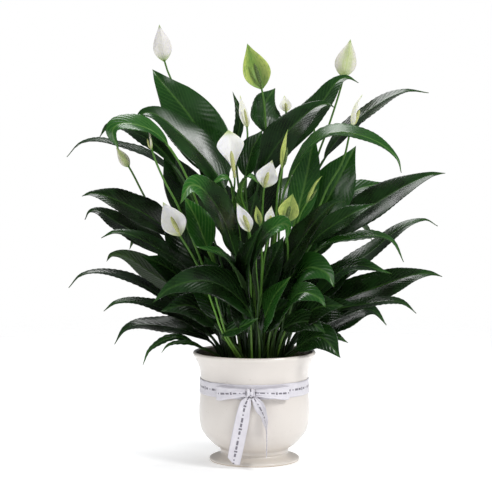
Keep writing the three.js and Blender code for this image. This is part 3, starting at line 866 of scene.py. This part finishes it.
# The last number of each finish is glow: the painted glow and the translucency.
SPATHES = {
    "white": spathe_finish("spathe_white", (0.93, 0.905, 0.84), (0.6, 0.56, 0.5),
                           (0.5, 0.56, 0.3), 0.16, (0.24, 0.38, 0.05), 0.7),
    "lilac": spathe_finish("spathe_lilac", (0.8, 0.745, 0.755), (0.42, 0.38, 0.28),
                           (0.3, 0.42, 0.08), 0.1, (0.15, 0.28, 0.03), 0.3),
    "green": spathe_finish("spathe_young_green", (0.52, 0.6, 0.13), (0.34, 0.46, 0.05),
                           (0.045, 0.17, 0.006), 0.5, (0.1, 0.25, 0.02), 0.25),
}
print("spathe finishes", *SPATHES)

# %% [markdown]
# The spadix is a cob of tiny round buds, cream in a white flower and green in a green one.
# A Voronoi pattern gives the buds and the darker gaps between them.

# %% Spadix materials
def spadix_finish(name, bud, gap):
    material, tree = new_material(name, Roughness=0.6)
    spots = put(tree, "TexVoronoi", Vector=object_place(tree), Scale=700.0)
    near = remap(tree, spots.outputs["Distance"], 0.0, 0.6)
    dress(tree, Base_Color=blend_colour(tree, near, bud, gap),
          Normal=bumped(tree, near, 0.8, 0.0006, invert=True))
    return material


CREAM_SPADIX = spadix_finish("spadix_cream", (0.85, 0.8, 0.52), (0.42, 0.45, 0.13))
GREEN_SPADIX = spadix_finish("spadix_green", (0.34, 0.42, 0.12), (0.05, 0.1, 0.02))
print("spadix finishes", CREAM_SPADIX.name, GREEN_SPADIX.name)

# %% [markdown]
# ## The flat flower pieces
# A spathe is a small cupped leaf, and a stalk and a spadix are extruded rings. Each is
# modelled once for each of its finishes.

# %% Model the flower pieces
FLAT_SPATHES = {colour: flat_blade(f"flat_{colour}_spathe", 14, 44, [finish, finish])
                for colour, finish in SPATHES.items()}
FLAT_STALK = flat_rod("flat_flower_stalk", 30, 10, LEAF_STALK)
FLAT_SPADIX = flat_rod("flat_spadix", 48, 20, CREAM_SPADIX)
FLAT_GREEN_SPADIX = flat_rod("flat_green_spadix", 48, 20, GREEN_SPADIX)
FLOWER_FLATS = (*FLAT_SPATHES.values(), FLAT_STALK, FLAT_SPADIX, FLAT_GREEN_SPADIX)
for flat in FLOWER_FLATS:
    only(flat)
    bpy.ops.object.shade_smooth()
print(len(FLOWER_FLATS), "flat flower pieces")

# %% [markdown]
# ## Laying stalks, cobs and spathes
# They are laid as a leaf is. A rod takes its radius from a function of how far along it is.
# A spathe's outline has one number, its swell: below 1 it is widest near the base, and above
# 1 it is widest near the tip, as when a spathe has bent back.

# %% Lay the flower pieces
SPATHE_CUP = 0.5
SPATHE_RIPPLE = 0.24
SPATHE_WALL = 0.0003
# Flower stalks get a middle tone, partly painted light.
ROD_TONE = 0.6


def spathe_outline(v, swell):
    body = math.sin(math.pi * min(v, 1.0) ** swell)
    pinch = 1 - 0.2 * max(0.0, (v - TIP_FROM) / (1 - TIP_FROM))
    return max(body * pinch, 0.14 * (1 - v) ** 2)


def lay_rod(flat, name, line, side, radius_at, ridges=None, tone=ROD_TONE):
    rod, path = copied(flat, name), Path(line)
    rows, places, measures = {}, [], []
    for vertex in rod.data.vertices:
        x, y, z = vertex.co
        share = min(y + 1, 1.0)
        key = round(share, 4)
        if key not in rows:
            heading = UP if share < 0.001 and ridges is None else path.heading(share)
            rows[key] = (path.place(share), *cross_directions(heading, side))
        at, across, top = rows[key]
        radius = radius_at(share) / ROD_RADIUS
        if ridges:
            radius *= ridges(share, math.atan2(z, x))
        places.append(at + across * (x * radius) + top * (z * radius))
        measures.append((0.03, share * path.length, share))
    set_points(rod.data, places, measures, tone)
    return rod


def lay_spathe(flat, name, line, side, width, seed, swell, tone):
    spathe, path = copied(flat, name), Path(line)
    rows, places, measures = {}, [], []
    for vertex in spathe.data.vertices:
        x, y, z = vertex.co
        key = round(y, 5)
        if key not in rows:
            rows[key] = (path.place(y), *cross_directions(path.heading(y), side))
        at, across, top = rows[key]
        u, wide = 2 * x, width / 2000 * spathe_outline(y, swell)
        cupped = SPATHE_CUP * wide * u * u
        ripple = SPATHE_RIPPLE * wide * noise.noise(Vector((1.4 * u + seed, 3.0 * y, seed)))
        wall = SPATHE_WALL if z > 0 else -SPATHE_WALL
        places.append(at + across * (u * wide) + top * (cupped + ripple + wall))
        measures.append((u, y, width / 1000))
    set_points(spathe.data, places, measures, tone)
    return spathe


print("a spathe is a grid of", len(FLAT_SPATHES["white"].data.polygons), "faces")

# %% [markdown]
# ## The flowers
# Each flower is a stalk, a spathe and a spadix along the CAD model's lines, joined into one
# piece. The cob gets its buds from rows of little swellings, staggered like bricks. The
# table repeats the CAD rows: number, place in the soil, stalk, the spathe's base and tip,
# its width and the compass way that it faces, and then its finish, swell and tone.

# %% Flower table
FLOWERS = [
    (1, (-8, 34), [(-45, 60, 404), (-53, 78, 470), (-109, 100, 550)],
     (-144, 112, 624), (-152, 112, 683), 30, 90, "lilac", 0.68, 0.05),
    (2, (4, 30), [(22, 44, 404), (20, 56, 483)],
     (12, 54, 579), (-11, 50, 650), 44, -80, "green", 0.68, 0.85),
    (3, (24, 39), [(99, 84, 466), (118, 96, 517)],
     (143, 104, 598), (154, 104, 659), 36, 100, "lilac", 0.68, 0.6),
    (4, (26, 12), [(110, 4, 418), (137, -6, 468)],
     (149, -10, 518), (166, -12, 569), 24, 0, "white", 0.68, 0.5),
    (5, (-10, -8), [(-37, -34, 385), (-33, -40, 411)],
     (-30, -46, 442), (-40, -40, 515), 42, -90, "white", 2.1, 0.0),
    (6, (-22, -24), [(-116, -66, 400), (-138, -72, 442)],
     (-155, -72, 485), (-161, -70, 516), 13, 180, "lilac", 0.68, 1.0),
    (7, (-32, 22), [(-145, 36, 364), (-170, 34, 406)],
     (-195, 14, 457), (-215, 11, 488), 17, 110, "lilac", 0.68, 0.8),
    (8, (-22, -32), [(-89, -70, 315), (-100, -78, 336)],
     (-112, -84, 356), (-138, -84, 407), 38, -80, "white", 0.68, 0.0),
    (9, (-4, -16), [(-7, -66, 315)], (-8, -72, 361), (-27, -70, 405), 26, -50, "white", 0.68, 0.05),
    (10, (6, -6), [(12, -26, 384)], (15, -34, 427), (27, -34, 469), 34, -100, "white", 0.68, 0.0),
    (11, (12, -2), [(33, -30, 383), (36, -36, 426)],
     (42, -40, 454), (51, -44, 516), 18, -20, "green", 0.68, 0.15),
    (12, (22, -10), [(70, -36, 386)], (79, -40, 403), (103, -44, 445), 16, -10, "green", 0.68, 0.5),
]
print(len(FLOWERS), "rows")

# %% Make the flowers
SPADIX_GIRTH = [(0, 0.36), (0.2, 0.42), (0.3, 0.9), (0.55, 1), (0.85, 0.8), (1, 0.25)]
SPADIX_RADIUS = 0.0034
BUD_HEIGHT, BUD_ROWS, BUD_COLUMNS = 0.14, 150, 9


def between(pairs, t):
    """Reads a table of (place, value) at t."""
    for (t0, v0), (t1, v1) in zip(pairs, pairs[1:]):
        if t <= t1:
            return v0 + (v1 - v0) * (t - t0) / (t1 - t0)
    return pairs[-1][1]


def buds(t, angle):
    if t <= 0.25:
        return 1
    return 1 + BUD_HEIGHT * math.sin(t * BUD_ROWS) * math.sin(BUD_COLUMNS * angle)


def make_flower(name, root, up, base, tip, width, faces, colour, swell, tone, seed):
    foot, top, end = metres((*root, FOOT_HEIGHT)), metres(base), metres(tip)
    heading, length = (end - top).normalized(), (end - top).length
    open_way = Vector((math.cos(math.radians(faces)), math.sin(math.radians(faces)), 0))
    open_way = (open_way - heading * open_way.dot(heading)).normalized()
    side = open_way.cross(heading)
    stalk_line = smooth_line([foot, *map(metres, up), top, top + heading * 0.003])
    stalk = lay_rod(FLAT_STALK, name + "_stalk", stalk_line, side,
                    lambda t: 0.0023 - 0.0008 * t)
    back = [top + heading * (length * t) - open_way * (0.1 * length * math.sin(math.pi * t))
            for t in (0, 0.25, 0.5, 0.75, 1)]
    spathe = lay_spathe(FLAT_SPATHES[colour], name + "_spathe", smooth_line(back, 6), side,
                        width, seed, swell, tone)
    cob = FLAT_GREEN_SPADIX if colour == "green" else FLAT_SPADIX
    spadix_line = smooth_line([top, top + heading * (length * 0.16) + open_way * 0.0024,
                               top + heading * (length * 0.56) + open_way * 0.0034], 6)
    girth = SPADIX_RADIUS * min(1.0, width / 26)
    spadix = lay_rod(cob, name + "_spadix", spadix_line, side,
                     lambda t: girth * between(SPADIX_GIRTH, t), buds)
    return joined(name, [spathe, stalk, spadix])


for number, *row in FLOWERS:
    flower = make_flower(f"lily_flower_{number:02d}", *row, 1.7 * number)
    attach(flower, "root")
    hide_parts(f"flower_{number:02d}")
print(len(FLOWERS), "flowers laid over their nodes")

# %% [markdown]
# ## More flowers
# A few smaller blooms stand between the others.

# %% Extra flowers
EXTRA_FLOWERS = [
    ((-2, 20), [(-16, 30, 405), (-13, 34, 467)], (-11, 36, 518), (-22, 36, 569), 16, -60, "white"),
    ((10, -24), [(48, -50, 286), (51, -54, 332)], (48, -58, 375), (58, -60, 419), 32, -95, "green"),
    ((6, -18), [(14, -56, 317), (20, -60, 348)], (20, -62, 369), (26, -62, 400), 18, -60, "white"),
    ((2, -20), [(11, -60, 315), (10, -64, 348)], (8, -66, 371), (2, -66, 401), 12, -100, "green"),
    ((14, 30), [(47, 70, 483), (49, 80, 518)], (51, 84, 543), (48, 84, 569), 20, -80, "white"),
]
SMALL_SWELL, SMALL_TONE = 0.68, 0.3
small = {"white": [], "green": []}
for i, row in enumerate(EXTRA_FLOWERS):
    small[row[-1]].append(make_flower(f"small_flower_{i}", *row, SMALL_SWELL, SMALL_TONE,
                                      3.1 * i))
for colour, group in small.items():
    bunch = joined(f"small_{colour}_flowers", group)
    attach(bunch, "root")
print(len(EXTRA_FLOWERS), "small flowers")

# %% [markdown]
# ## Bright stalks
# Low in front, a few leaf stalks catch the light, and a high tone paints that light into their
# green. They are single rods, one piece together.

# %% Bright stalks in front
BRIGHT_STALKS = [
    ((-16, -44), [(-49, -84, 211), (-61, -96, 246), (-73, -104, 282)], 0.95),
    ((-12, -46), [(-43, -84, 208), (-53, -98, 243), (-64, -108, 286)], 0.8),
    ((32, -36), [(39, -50, 186), (48, -56, 211), (66, -60, 245)], 1.0),
    ((8, -54), [(7, -70, 198), (5, -74, 228), (11, -76, 265)], 0.5),
    ((-4, -56), [(-5, -74, 201), (-7, -78, 235), (-11, -80, 274)], 0.8),
    ((20, -46), [(23, -64, 204), (32, -68, 234), (53, -70, 264)], 0.6),
]
bright = []
for i, (root, up, tone) in enumerate(BRIGHT_STALKS):
    line = smooth_line([metres((*root, FOOT_HEIGHT)), *map(metres, up)])
    bright.append(lay_rod(FLAT_STALK, f"stalk_{i}", line, Vector((1, 0, 0)),
                          lambda t: 0.0019 - 0.0005 * t, tone=tone))
bright_stalks = joined("bright_leaf_stalks", bright)
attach(bright_stalks, "root")
for flat in FLOWER_FLATS:
    bpy.data.objects.remove(flat)
print(len(BRIGHT_STALKS), "bright stalks")

# %% [markdown]
# ## The planter
# The planter is thrown on a wheel: a flared foot, a narrow waist, a round belly and a lip
# that turns out. Its profile is drawn and spun once round.

# %% Planter
PLANTER_OUTSIDE = [
    (70, 0), (70, 4), (66, 6.5), (56, 9), (51.5, 12), (53, 14.5), (53.8, 19.4), (62, 25),
    (70, 32.7), (78, 42), (82.5, 49.5), (85.5, 62), (86.3, 75), (85.6, 95), (84.2, 115),
    (83.8, 130), (84.8, 142), (88.5, 154), (92.5, 162), (95.5, 168), (94.5, 170.5)]
PLANTER_INSIDE = [
    (91.5, 170.5), (87.6, 163), (83.4, 155), (79.8, 143), (78.6, 130), (79, 115), (80.4, 95),
    (81, 75), (80.2, 62), (76.8, 50), (70, 38), (60, 27), (50, 22)]


def spun(name, profile, steps):
    """A profile of (radius, height) in millimetres, turned once round the upright axis."""
    mesh = bpy.data.meshes.new(name)
    mesh.from_pydata([(r / 1000, 0, z / 1000) for r, z in profile],
                     [(i, i + 1) for i in range(len(profile) - 1)], [])
    thing = bpy.data.objects.new(name, mesh)
    bpy.context.collection.objects.link(thing)
    only(thing)
    bpy.ops.object.mode_set(mode="EDIT")
    bpy.ops.mesh.select_all(action="SELECT")
    bpy.ops.mesh.spin(steps=steps, angle=TURN, center=(0, 0, 0), axis=(0, 0, 1))
    bpy.ops.mesh.select_all(action="SELECT")
    bpy.ops.mesh.remove_doubles(threshold=0.00001)
    bpy.ops.mesh.normals_make_consistent(inside=False)
    bpy.ops.object.mode_set(mode="OBJECT")
    return thing


def rounded(profile, steps=4):
    return [(p.x, p.y) for p in smooth_line([(r, z, 0) for r, z in profile], steps)]


foot_edge = [(0, 0), (67.5, 0), (69.4, 0.6)]
wall_outside = rounded([(70, 1.6), *PLANTER_OUTSIDE[1:]])
lip_top = [(93, 171.0)]
planter = spun("glazed_planter", [*foot_edge, *wall_outside, *lip_top,
                                  *rounded(PLANTER_INSIDE), (0, 22)], 128)
bpy.ops.object.shade_smooth_by_angle(angle=math.radians(50))
print("planter", len(planter.data.polygons), "faces")

# %% [markdown]
# The glaze is a warm white that drifts a little in tone, thins at the lip, pools over the
# foot and stops short of the bare underside. The inner wall under the lip is painted dark as
# painted shade, where the foliage and moss shade it, and the painted shade is dull, so it has
# no coat.

# %% Glaze
INNER_SHADE_SLOPE = 0.45


def glaze_finish():
    material, tree = new_material("cream_glaze", Coat_Roughness=0.12)
    place = object_place(tree)
    x, y, height = parts_of(tree, place)
    radius = maths(tree, "SQRT", plus(tree, times(tree, x, x), times(tree, y, y)))
    drift, specks = mottled(tree, 9.0, 1.4), mottled(tree, 260.0, 2.4)
    body = blend_colour(tree, drift, (0.755, 0.705, 0.66), (0.69, 0.64, 0.59))
    thin = times(tree, remap(tree, height, 0.1695, 0.1712), 0.5)
    lipped = blend_colour(tree, thin, body, (0.6, 0.52, 0.42))
    pool = times(tree, remap(tree, height, 0.021, 0.009), 0.3)
    pooled = blend_colour(tree, pool, lipped, (0.6, 0.55, 0.47))
    bare = remap(tree, height, 0.0022, 0.0012)
    clay = blend_colour(tree, bare, pooled, (0.55, 0.47, 0.38))
    speckled = blend_colour(tree, remap(tree, specks, 0.86, 1.0, 0.0, 0.25), clay,
                            (0.42, 0.36, 0.28))
    # Painted shade: the inner wall under the lip is painted near black and dull, where the foliage
    # and moss shade it.
    inner = minus(tree, radius, times(tree, height, INNER_SHADE_SLOPE))
    painted_shade = times(tree, remap(tree, inner, 0.0174, 0.0158),
                  remap(tree, height, 0.17, 0.1682, 0.0, 0.88))
    dull = times(tree, maths(tree, "MAXIMUM", bare, painted_shade), 0.5)
    wheel = put(tree, "TexNoise", Vector=place, Scale=34.0, Detail=2.0).outputs[0]
    # The near-black colour here is the painted shade on the inner wall.
    dress(tree, Base_Color=blend_colour(tree, painted_shade, speckled, (0.055, 0.042, 0.028)),
          Coat_Weight=times(tree, minus(tree, 1.0, painted_shade), 0.35),
          Roughness=plus(tree, remap(tree, drift, 0.0, 1.0, 0.26, 0.36), dull),
          Normal=bumped(tree, wheel, 0.12, 0.002))
    return material


planter.data.materials.append(glaze_finish())
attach(planter, "root")
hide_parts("planter")
print("glazed", planter.name)

# %% [markdown]
# ## Pot, potting mix and moss
# Inside the planter stands a black grow pot full of dark potting mix. A collar of dried moss
# hides its edge. The mix is a spun block whose top is roughened into crumbs, and the moss is
# a lumpy ring with many short curled fibres, because its loose edge shows over the lip of
# the planter.

# %% Pot plastic and crumbs
def plastic_finish():
    material, tree = new_material("black_pot_plastic")
    drift = mottled(tree, 120.0, 1.5)
    dress(tree, Base_Color=blend_colour(tree, drift, (0.012, 0.012, 0.013), (0.03, 0.03, 0.032)),
          Roughness=remap(tree, drift, 0.0, 1.0, 0.45, 0.65))
    return material


def crumb_finish(name, dark, light, scale, depth):
    material, tree = new_material(name, Specular_IOR_Level=0.2)
    lumps = put(tree, "TexVoronoi", Vector=object_place(tree), Scale=scale).outputs["Distance"]
    drift = mottled(tree, scale * 0.4, 2.0)
    tone = blend_colour(tree, drift, dark, light)
    dress(tree, Base_Color=blend_colour(tree, remap(tree, lumps, 0.2, 0.7), tone, dark),
          Roughness=remap(tree, drift, 0.0, 1.0, 0.75, 0.95),
          Normal=bumped(tree, lumps, 0.9, depth, invert=True))
    return material


SOIL = crumb_finish("peat_crumbs", (0.012, 0.008, 0.005), (0.06, 0.038, 0.022), 380.0, 0.002)
MOSS = crumb_finish("dried_moss", (0.05, 0.042, 0.018), (0.19, 0.16, 0.07), 520.0, 0.0015)
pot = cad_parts["grow_pot"]
pot.data.materials.clear()
pot.data.materials.append(plastic_finish())
print("filling finishes", SOIL.name, MOSS.name, pot.data.materials[0].name)

# %% Potting mix
SOIL_PROFILE = [(0, 26), (44, 26), (73, 142), (74, 147), (72.6, 150.4), (66, 151.6), (54, 151.8),
                (42, 151.8), (30, 151.8), (18, 151.8), (0, 151.8)]
CRUMBS_FROM, HIGHEST_CRUMB = 0.149, 0.0009
soil = spun("potting_mix_surface", SOIL_PROFILE, 72)
apply_modifier(soil, "SUBSURF", levels=2, render_levels=2)
for vertex in soil.data.vertices:
    if vertex.co.z > CRUMBS_FROM:
        crumb = noise.noise(vertex.co * 180) * 0.0012 + noise.noise(vertex.co * 520) * 0.0008
        vertex.co.z += min(crumb, HIGHEST_CRUMB)
soil.data.materials.append(SOIL)
bpy.ops.object.shade_smooth()
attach(soil, "root")
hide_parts("potting_mix")
print("soil", len(soil.data.polygons), "faces")

# %% Moss ring
MOSS_HEIGHT = 0.1585
bpy.ops.object.select_all(action="DESELECT")
bpy.ops.mesh.primitive_torus_add(major_segments=144, minor_segments=20, major_radius=0.0735,
                                 minor_radius=0.0092, location=(0, 0, 0))
moss = bpy.context.object
moss.name = moss.data.name = "moss_ring"
for vertex in moss.data.vertices:
    out = Vector((vertex.co.x, vertex.co.y, 0)).normalized()
    lump = noise.noise(vertex.co * 90) * 0.0022 + noise.noise(vertex.co * 320) * 0.0012
    vertex.co += out * lump
    vertex.co.z = MOSS_HEIGHT + vertex.co.z * 0.55 + lump
moss.data.materials.append(MOSS)
bpy.ops.object.shade_smooth()
print("moss ring", len(moss.data.polygons), "faces")

# %% [markdown]
# Each fibre is a copy of one thin three-sided rod, cut twice so that it can bend. Successive
# fibres are a golden angle apart, which spreads them evenly round the ring.

# %% Moss fibres
FIBRE_COUNT = 900
GOLDEN_ANGLE = 2.39996
noise.seed_set(7)
bpy.ops.mesh.primitive_cylinder_add(vertices=3, radius=0.00022, depth=1, end_fill_type="NGON",
                                    location=(0, 0, 0.5))
fibre = bpy.context.object
settle()
bpy.ops.object.mode_set(mode="EDIT")
for height in (0.34, 0.67):
    bpy.ops.mesh.select_all(action="SELECT")
    bpy.ops.mesh.bisect(plane_co=(0, 0, height), plane_no=(0, 0, 1))
bpy.ops.object.mode_set(mode="OBJECT")
fibre_shape = [v.co.copy() for v in fibre.data.vertices]
tufts = []
for i in range(FIBRE_COUNT):
    tuft = copied(fibre, f"fibre_{i}")
    angle = i * GOLDEN_ANGLE
    spread = noise.random()
    root = Vector((math.cos(angle), math.sin(angle), 0)) * (0.064 + 0.0195 * spread)
    root.z = MOSS_HEIGHT + 0.006 * spread
    lean = noise.random_unit_vector()
    lean.z = abs(lean.z) * 0.5 + 0.1
    curl = noise.random_unit_vector() * 0.5
    reach = 0.006 + 0.008 * noise.random()
    for vertex, shape in zip(tuft.data.vertices, fibre_shape):
        t = shape.z
        thickness = Vector((shape.x, shape.y, 0)) * (1.2 - t)
        vertex.co = root + (lean * t + curl * t * t) * reach + thickness
    tufts.append(tuft)
bpy.data.objects.remove(fibre)
moss_fibres = joined("moss_fibres", tufts)
moss_fibres.data.materials.clear()
moss_fibres.data.materials.append(MOSS)
for piece in (moss, moss_fibres):
    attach(piece, "root")
    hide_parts("moss_collar")
print(FIBRE_COUNT, "moss fibres")

# %% [markdown]
# ## Ribbon
# The bow is 22 mm satin ribbon. A band goes once round the planter, and the bow is a knot
# with two flattened loops and two tails. Satin has very fine threads across the strip, a
# firm woven edge and a soft sheen. A small grey print of dashes and dots repeats along it,
# and the ribbon is a little creased from being tied.

# %% Satin
RIBBON_HALF = 0.011
PRINT_STEP = 0.036
PRINT_BLUR = 0.0002
MARKS = [  # centre along the ribbon, half length, half height
    (0.0045, 0.0036, 0.0016), (0.0125, 0.0028, 0.0016), (0.0185, 0.0014, 0.0026),
    (0.0245, 0.0028, 0.0016), (0.0325, 0.0011, 0.0011)]
THREAD_GAP, CORD_GAP = 0.0005, 0.0007


def printed_marks(tree, along, off_middle):
    """1 on a dash or a dot of the print, and 0 beside it."""
    beat = times(tree, maths(tree, "FRACT", maths(tree, "DIVIDE", along, PRINT_STEP)),
                 PRINT_STEP)

    def within(distance, half):
        return remap(tree, distance, half + PRINT_BLUR, half - PRINT_BLUR)

    marks = 0.0
    for centre, half_long, half_high in MARKS:
        gap = maths(tree, "ABSOLUTE", minus(tree, beat, centre))
        mark = times(tree, within(gap, half_long), within(off_middle, half_high))
        marks = maths(tree, "MAXIMUM", marks, mark)
    return marks


def satin_finish():
    material, tree = new_material("satin_ribbon", Sheen_Weight=0.25, Sheen_Roughness=0.4,
                                  Specular_IOR_Level=0.55)
    across, along, _ = parts_of(tree, blade_place(tree))
    off_middle = maths(tree, "ABSOLUTE", across)
    cloud = mottled(tree, 90.0, 1.2)
    # Painted shade: the colour drifts at random from white to lilac-grey, standing in for the
    # shading of the satin's creases.
    body = blend_colour(tree, cloud, (0.8, 0.78, 0.815), (0.62, 0.59, 0.65))
    edge = remap(tree, off_middle, RIBBON_HALF - 0.0011, RIBBON_HALF - 0.0007)
    bound = blend_colour(tree, times(tree, edge, 0.35), body, (0.6, 0.59, 0.64))
    marks = times(tree, printed_marks(tree, along, off_middle), 0.9)
    threads = maths(tree, "SINE", times(tree, along, TURN / THREAD_GAP))
    cords = maths(tree, "SINE", times(tree, across, TURN / CORD_GAP))
    weave = plus(tree, times(tree, threads, 0.6), times(tree, cords, 0.4))
    creases = put(tree, "TexNoise", Vector=object_place(tree), Scale=70.0, Detail=3.0)
    crumple = bumped(tree, creases.outputs[0], 0.5, 0.003)
    dress(tree, Base_Color=blend_colour(tree, marks, bound, (0.12, 0.11, 0.14)),
          Roughness=remap(tree, cloud, 0.0, 1.0, 0.32, 0.44),
          Normal=bumped(tree, plus(tree, weave, times(tree, edge, 2.0)), 0.35, 0.00012,
                        Normal=crumple))
    return material


SATIN = satin_finish()
bpy.ops.object.select_all(action="DESELECT")
bpy.ops.mesh.primitive_grid_add(x_subdivisions=14, y_subdivisions=90, size=1,
                                location=(0, 0.5, 0))
FLAT_RIBBON = bpy.context.object
settle()
FLAT_RIBBON.data.materials.append(SATIN)
bpy.ops.object.shade_smooth()
print("satin on a strip of", len(FLAT_RIBBON.data.polygons), "faces")

# %% [markdown]
# ## Laying ribbon
# One flat strip is modelled and laid along each piece's line, with pleats where the knot
# gathers it. A firm woven edge holds a ribbon in shape, so it is laid along its given stops,
# without a cloth simulation. Every stop on the line has its own half width, width direction
# and pleat depth, and they change smoothly from stop to stop. A tail's end can be cut on the
# slant.

# %% Lay the ribbon
RIBBON_WALL = 0.00045
RIBBON_STEPS = 10
CUT_FROM = 0.8
PLEATS = 7.5
CRUMPLE = 0.0009


def lay_ribbon(name, stops, start=0.0, cut=0.0):
    """stops: place in mm, half width in mm, the way its width runs, and pleat depth in mm."""
    strip = copied(FLAT_RIBBON, name)
    path = Path(smooth_line([metres(stop[0]) for stop in stops], RIBBON_STEPS))
    steps = len(stops) - 1

    def row(y):
        i, ratio = path.find(y)
        at = min(max((i - 1 + ratio) / RIBBON_STEPS, 0.0), steps)
        i = min(int(at), steps - 1)
        blend = at - i
        blend = blend * blend * (3 - 2 * blend)
        before, after = stops[i], stops[i + 1]
        half, pleat = (before[k] + (after[k] - before[k]) * blend for k in (1, 3))
        side = Vector(before[2]).lerp(Vector(after[2]), blend)
        middle = path.place(y) + path.heading(y) * max(0.0, y - 1) * path.length
        return (middle, half / 1000, pleat / 1000,
                *cross_directions(path.heading(min(y, 0.99)), side))

    rows, places, measures = {}, [], []
    for vertex in strip.data.vertices:
        u, y = 2 * vertex.co.x, min(max(vertex.co.y, 0.0), 1.0)
        if y > CUT_FROM and cut:
            y += (y - CUT_FROM) / (1 - CUT_FROM) * u * cut / path.length
        key = round(y, 6)
        if key not in rows:
            rows[key] = row(y)
        middle, half, pleat, across, top = rows[key]
        fold = pleat * math.sin(u * PLEATS + 0.6) * (1 - 0.3 * abs(u))
        fold += CRUMPLE * noise.noise(Vector((1.1 * u, y * path.length * 55, 900 * start)))
        places.append(middle + across * (u * half) + top * fold)
        measures.append((u * RIBBON_HALF, start + y * path.length, 0))
    set_points(strip.data, places, measures, 0.5)
    apply_modifier(strip, "SOLIDIFY", thickness=RIBBON_WALL, offset=0)
    return strip, path.length


print("ribbon laying ready")

# %% Band
RIBBON_Z = 118.5
BAND_RADIUS = 0.0849
BAND_ROWS = 11
WALL = [(z, r) for r, z in PLANTER_OUTSIDE[4:]]
heights = [RIBBON_Z - 11 + 22 / (BAND_ROWS - 1) * i for i in range(BAND_ROWS)]
band = spun("ribbon_round_planter", [(between(WALL, z) + 0.65, z) for z in heights], 160)
band.data.materials.append(SATIN)
bpy.ops.object.shade_smooth()
places, measures = [], []
for vertex in band.data.vertices:
    x, y, z = vertex.co
    angle = math.atan2(y, x)
    sag = 0.0007 * noise.noise(Vector((2.2 * math.cos(angle), 2.2 * math.sin(angle), 4)))
    stand = 0.00015 * math.sin(11 * angle) + 0.00015
    places.append(vertex.co + Vector((x, y, 0)).normalized() * stand + UP * sag)
    measures.append((z - RIBBON_Z / 1000, (angle % TURN) * 0.0848, 0))
set_points(band.data, places, measures, 0.5)
apply_modifier(band, "SOLIDIFY", thickness=RIBBON_WALL, offset=0)
BAND_LENGTH = TURN * BAND_RADIUS
print("band", round(BAND_LENGTH, 3), "m round")

# %% Knot, loops and tails
KNOT = (-6, -91.2)
TALL = (0, 0, 1)


def wall_place(way, degrees, radius, z):
    """A place on the planter's wall, so many degrees to one side of the knot."""
    a = math.asin(KNOT[0] / radius) + way * math.radians(degrees)
    return (radius * math.sin(a), -radius * math.cos(a), z)


def bow_loop(name, way, reach, near, far, drop):
    """A loop lies flat on the planter: out along the wall, round its end, and back."""
    middle = (near + far) / 2
    bends = [  # degrees from the knot, radius, share of the drop, half width, pleat
        (4.6, 87.4, 0, near, 0.45), (reach * 0.5, 87.4, 0.5, middle, 0.3),
        (reach * 0.9, 88, 1, far, 0.1), (reach, 91, 1, far, 0.1),
        (reach * 0.88, 94.2, 1, far, 0.2), (reach * 0.5, 95.2, 0.5, middle, 0.9),
        (4.6, 93.2, 0, near, 1.3)]
    return lay_ribbon(name, [(wall_place(way, degrees, radius, RIBBON_Z - drop * share), half,
                              TALL, pleat) for degrees, radius, share, half, pleat in bends],
                      0.011)


loop_left, left_length = bow_loop("bow_loop_left_satin", -1, 36, 5.4, 10.8, 3)
loop_right, right_length = bow_loop("bow_loop_right_satin", 1, 39, 5.0, 10.2, 2)
tail_left, tail_left_length = lay_ribbon("bow_tail_left_satin", [
    ((-9, -90.4, 111.4), 4.6, (1, 0, 0.2), 0.9),
    ((-14, -90, 100), 9, (1, 0, 0.2), 0.6),
    ((-19, -89.6, 76), 10.8, (1, 0, 0.2), 0.15),
    ((-25.5, -88, 44), 11, (1, 0, 0.2), 0.1),
    ((-32.5, -81, 8), 10.4, (1, 0, 0.15), 0.1)], 0.004, 0.009)
tail_right, tail_right_length = lay_ribbon("bow_tail_right_satin", [
    ((-1.5, -90.4, 111.4), 4.4, (1, 0, 0.4), 0.9),
    ((7, -92, 98), 8.5, (1, -0.3, 0.3), 0.6),
    ((14.5, -94, 82), 10.4, (0.5, -0.9, 0.2), 0.3),
    ((17.8, -98, 62), 10.8, (0.1, -1, 0), 0.15),
    ((18, -96, 22), 11, (0, -1, 0), 0.1)], 0.02, 0.004)
knot_ring = []
for k in range(9):
    a = math.radians(-172 + 43 * k)
    place = (KNOT[0] + 0.3 * math.sin(a), KNOT[1] - 3.7 * math.sin(a),
             RIBBON_Z + 5.9 * math.cos(a))
    knot_ring.append((place, 6.0 + 1.0 * abs(math.cos(a)), (1, 0.04, 0.06), 1.1))
knot, knot_length = lay_ribbon("bow_knot_satin", knot_ring, 0.007)
print("loops", round(left_length, 3), round(right_length, 3), "knot", round(knot_length, 3))

# %% Attach the ribbon pieces and hide their nodes
SHEETS = [
    (band, "ribbon_band", BAND_LENGTH, "folded", "glazed_planter"),
    (loop_left, "ribbon_loop_left", left_length, "folded", "ribbon_round_planter"),
    (loop_right, "ribbon_loop_right", right_length, "folded", "ribbon_round_planter"),
    (tail_left, "ribbon_tail_left", tail_left_length, "hung", "bow_knot_satin"),
    (tail_right, "ribbon_tail_right", tail_right_length, "hung", "bow_knot_satin"),
    (knot, "ribbon_knot", knot_length, "gathered", "ribbon_round_planter"),
]
for piece, node, length, held, under in SHEETS:
    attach(piece, "root")
    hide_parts(node)
bpy.data.objects.remove(FLAT_RIBBON)
print(len(SHEETS), "ribbon pieces")

# %% [markdown]
# ## Floor finish
# The floor is plain and pale, so only the soft shadow of the planter marks it. It fades out
# into the background, so no horizon shows.

# %% Floor
floor_material, paper = new_material("studio_paper", Roughness=0.9, Emission_Color=(1, 1, 1),
                                     Emission_Strength=0.28)
distance = put(paper, "VectorMath", {"operation": "LENGTH"}, Vector=object_place(paper))
dress(paper, Base_Color=blend_colour(paper, mottled(paper, 3.0, 0.5), (0.93, 0.93, 0.93),
                                     (0.91, 0.91, 0.91)),
      Alpha=remap(paper, distance.outputs["Value"], 2.2, 0.7))
floor.data.materials.append(floor_material)
print("floor finish", floor_material.name)
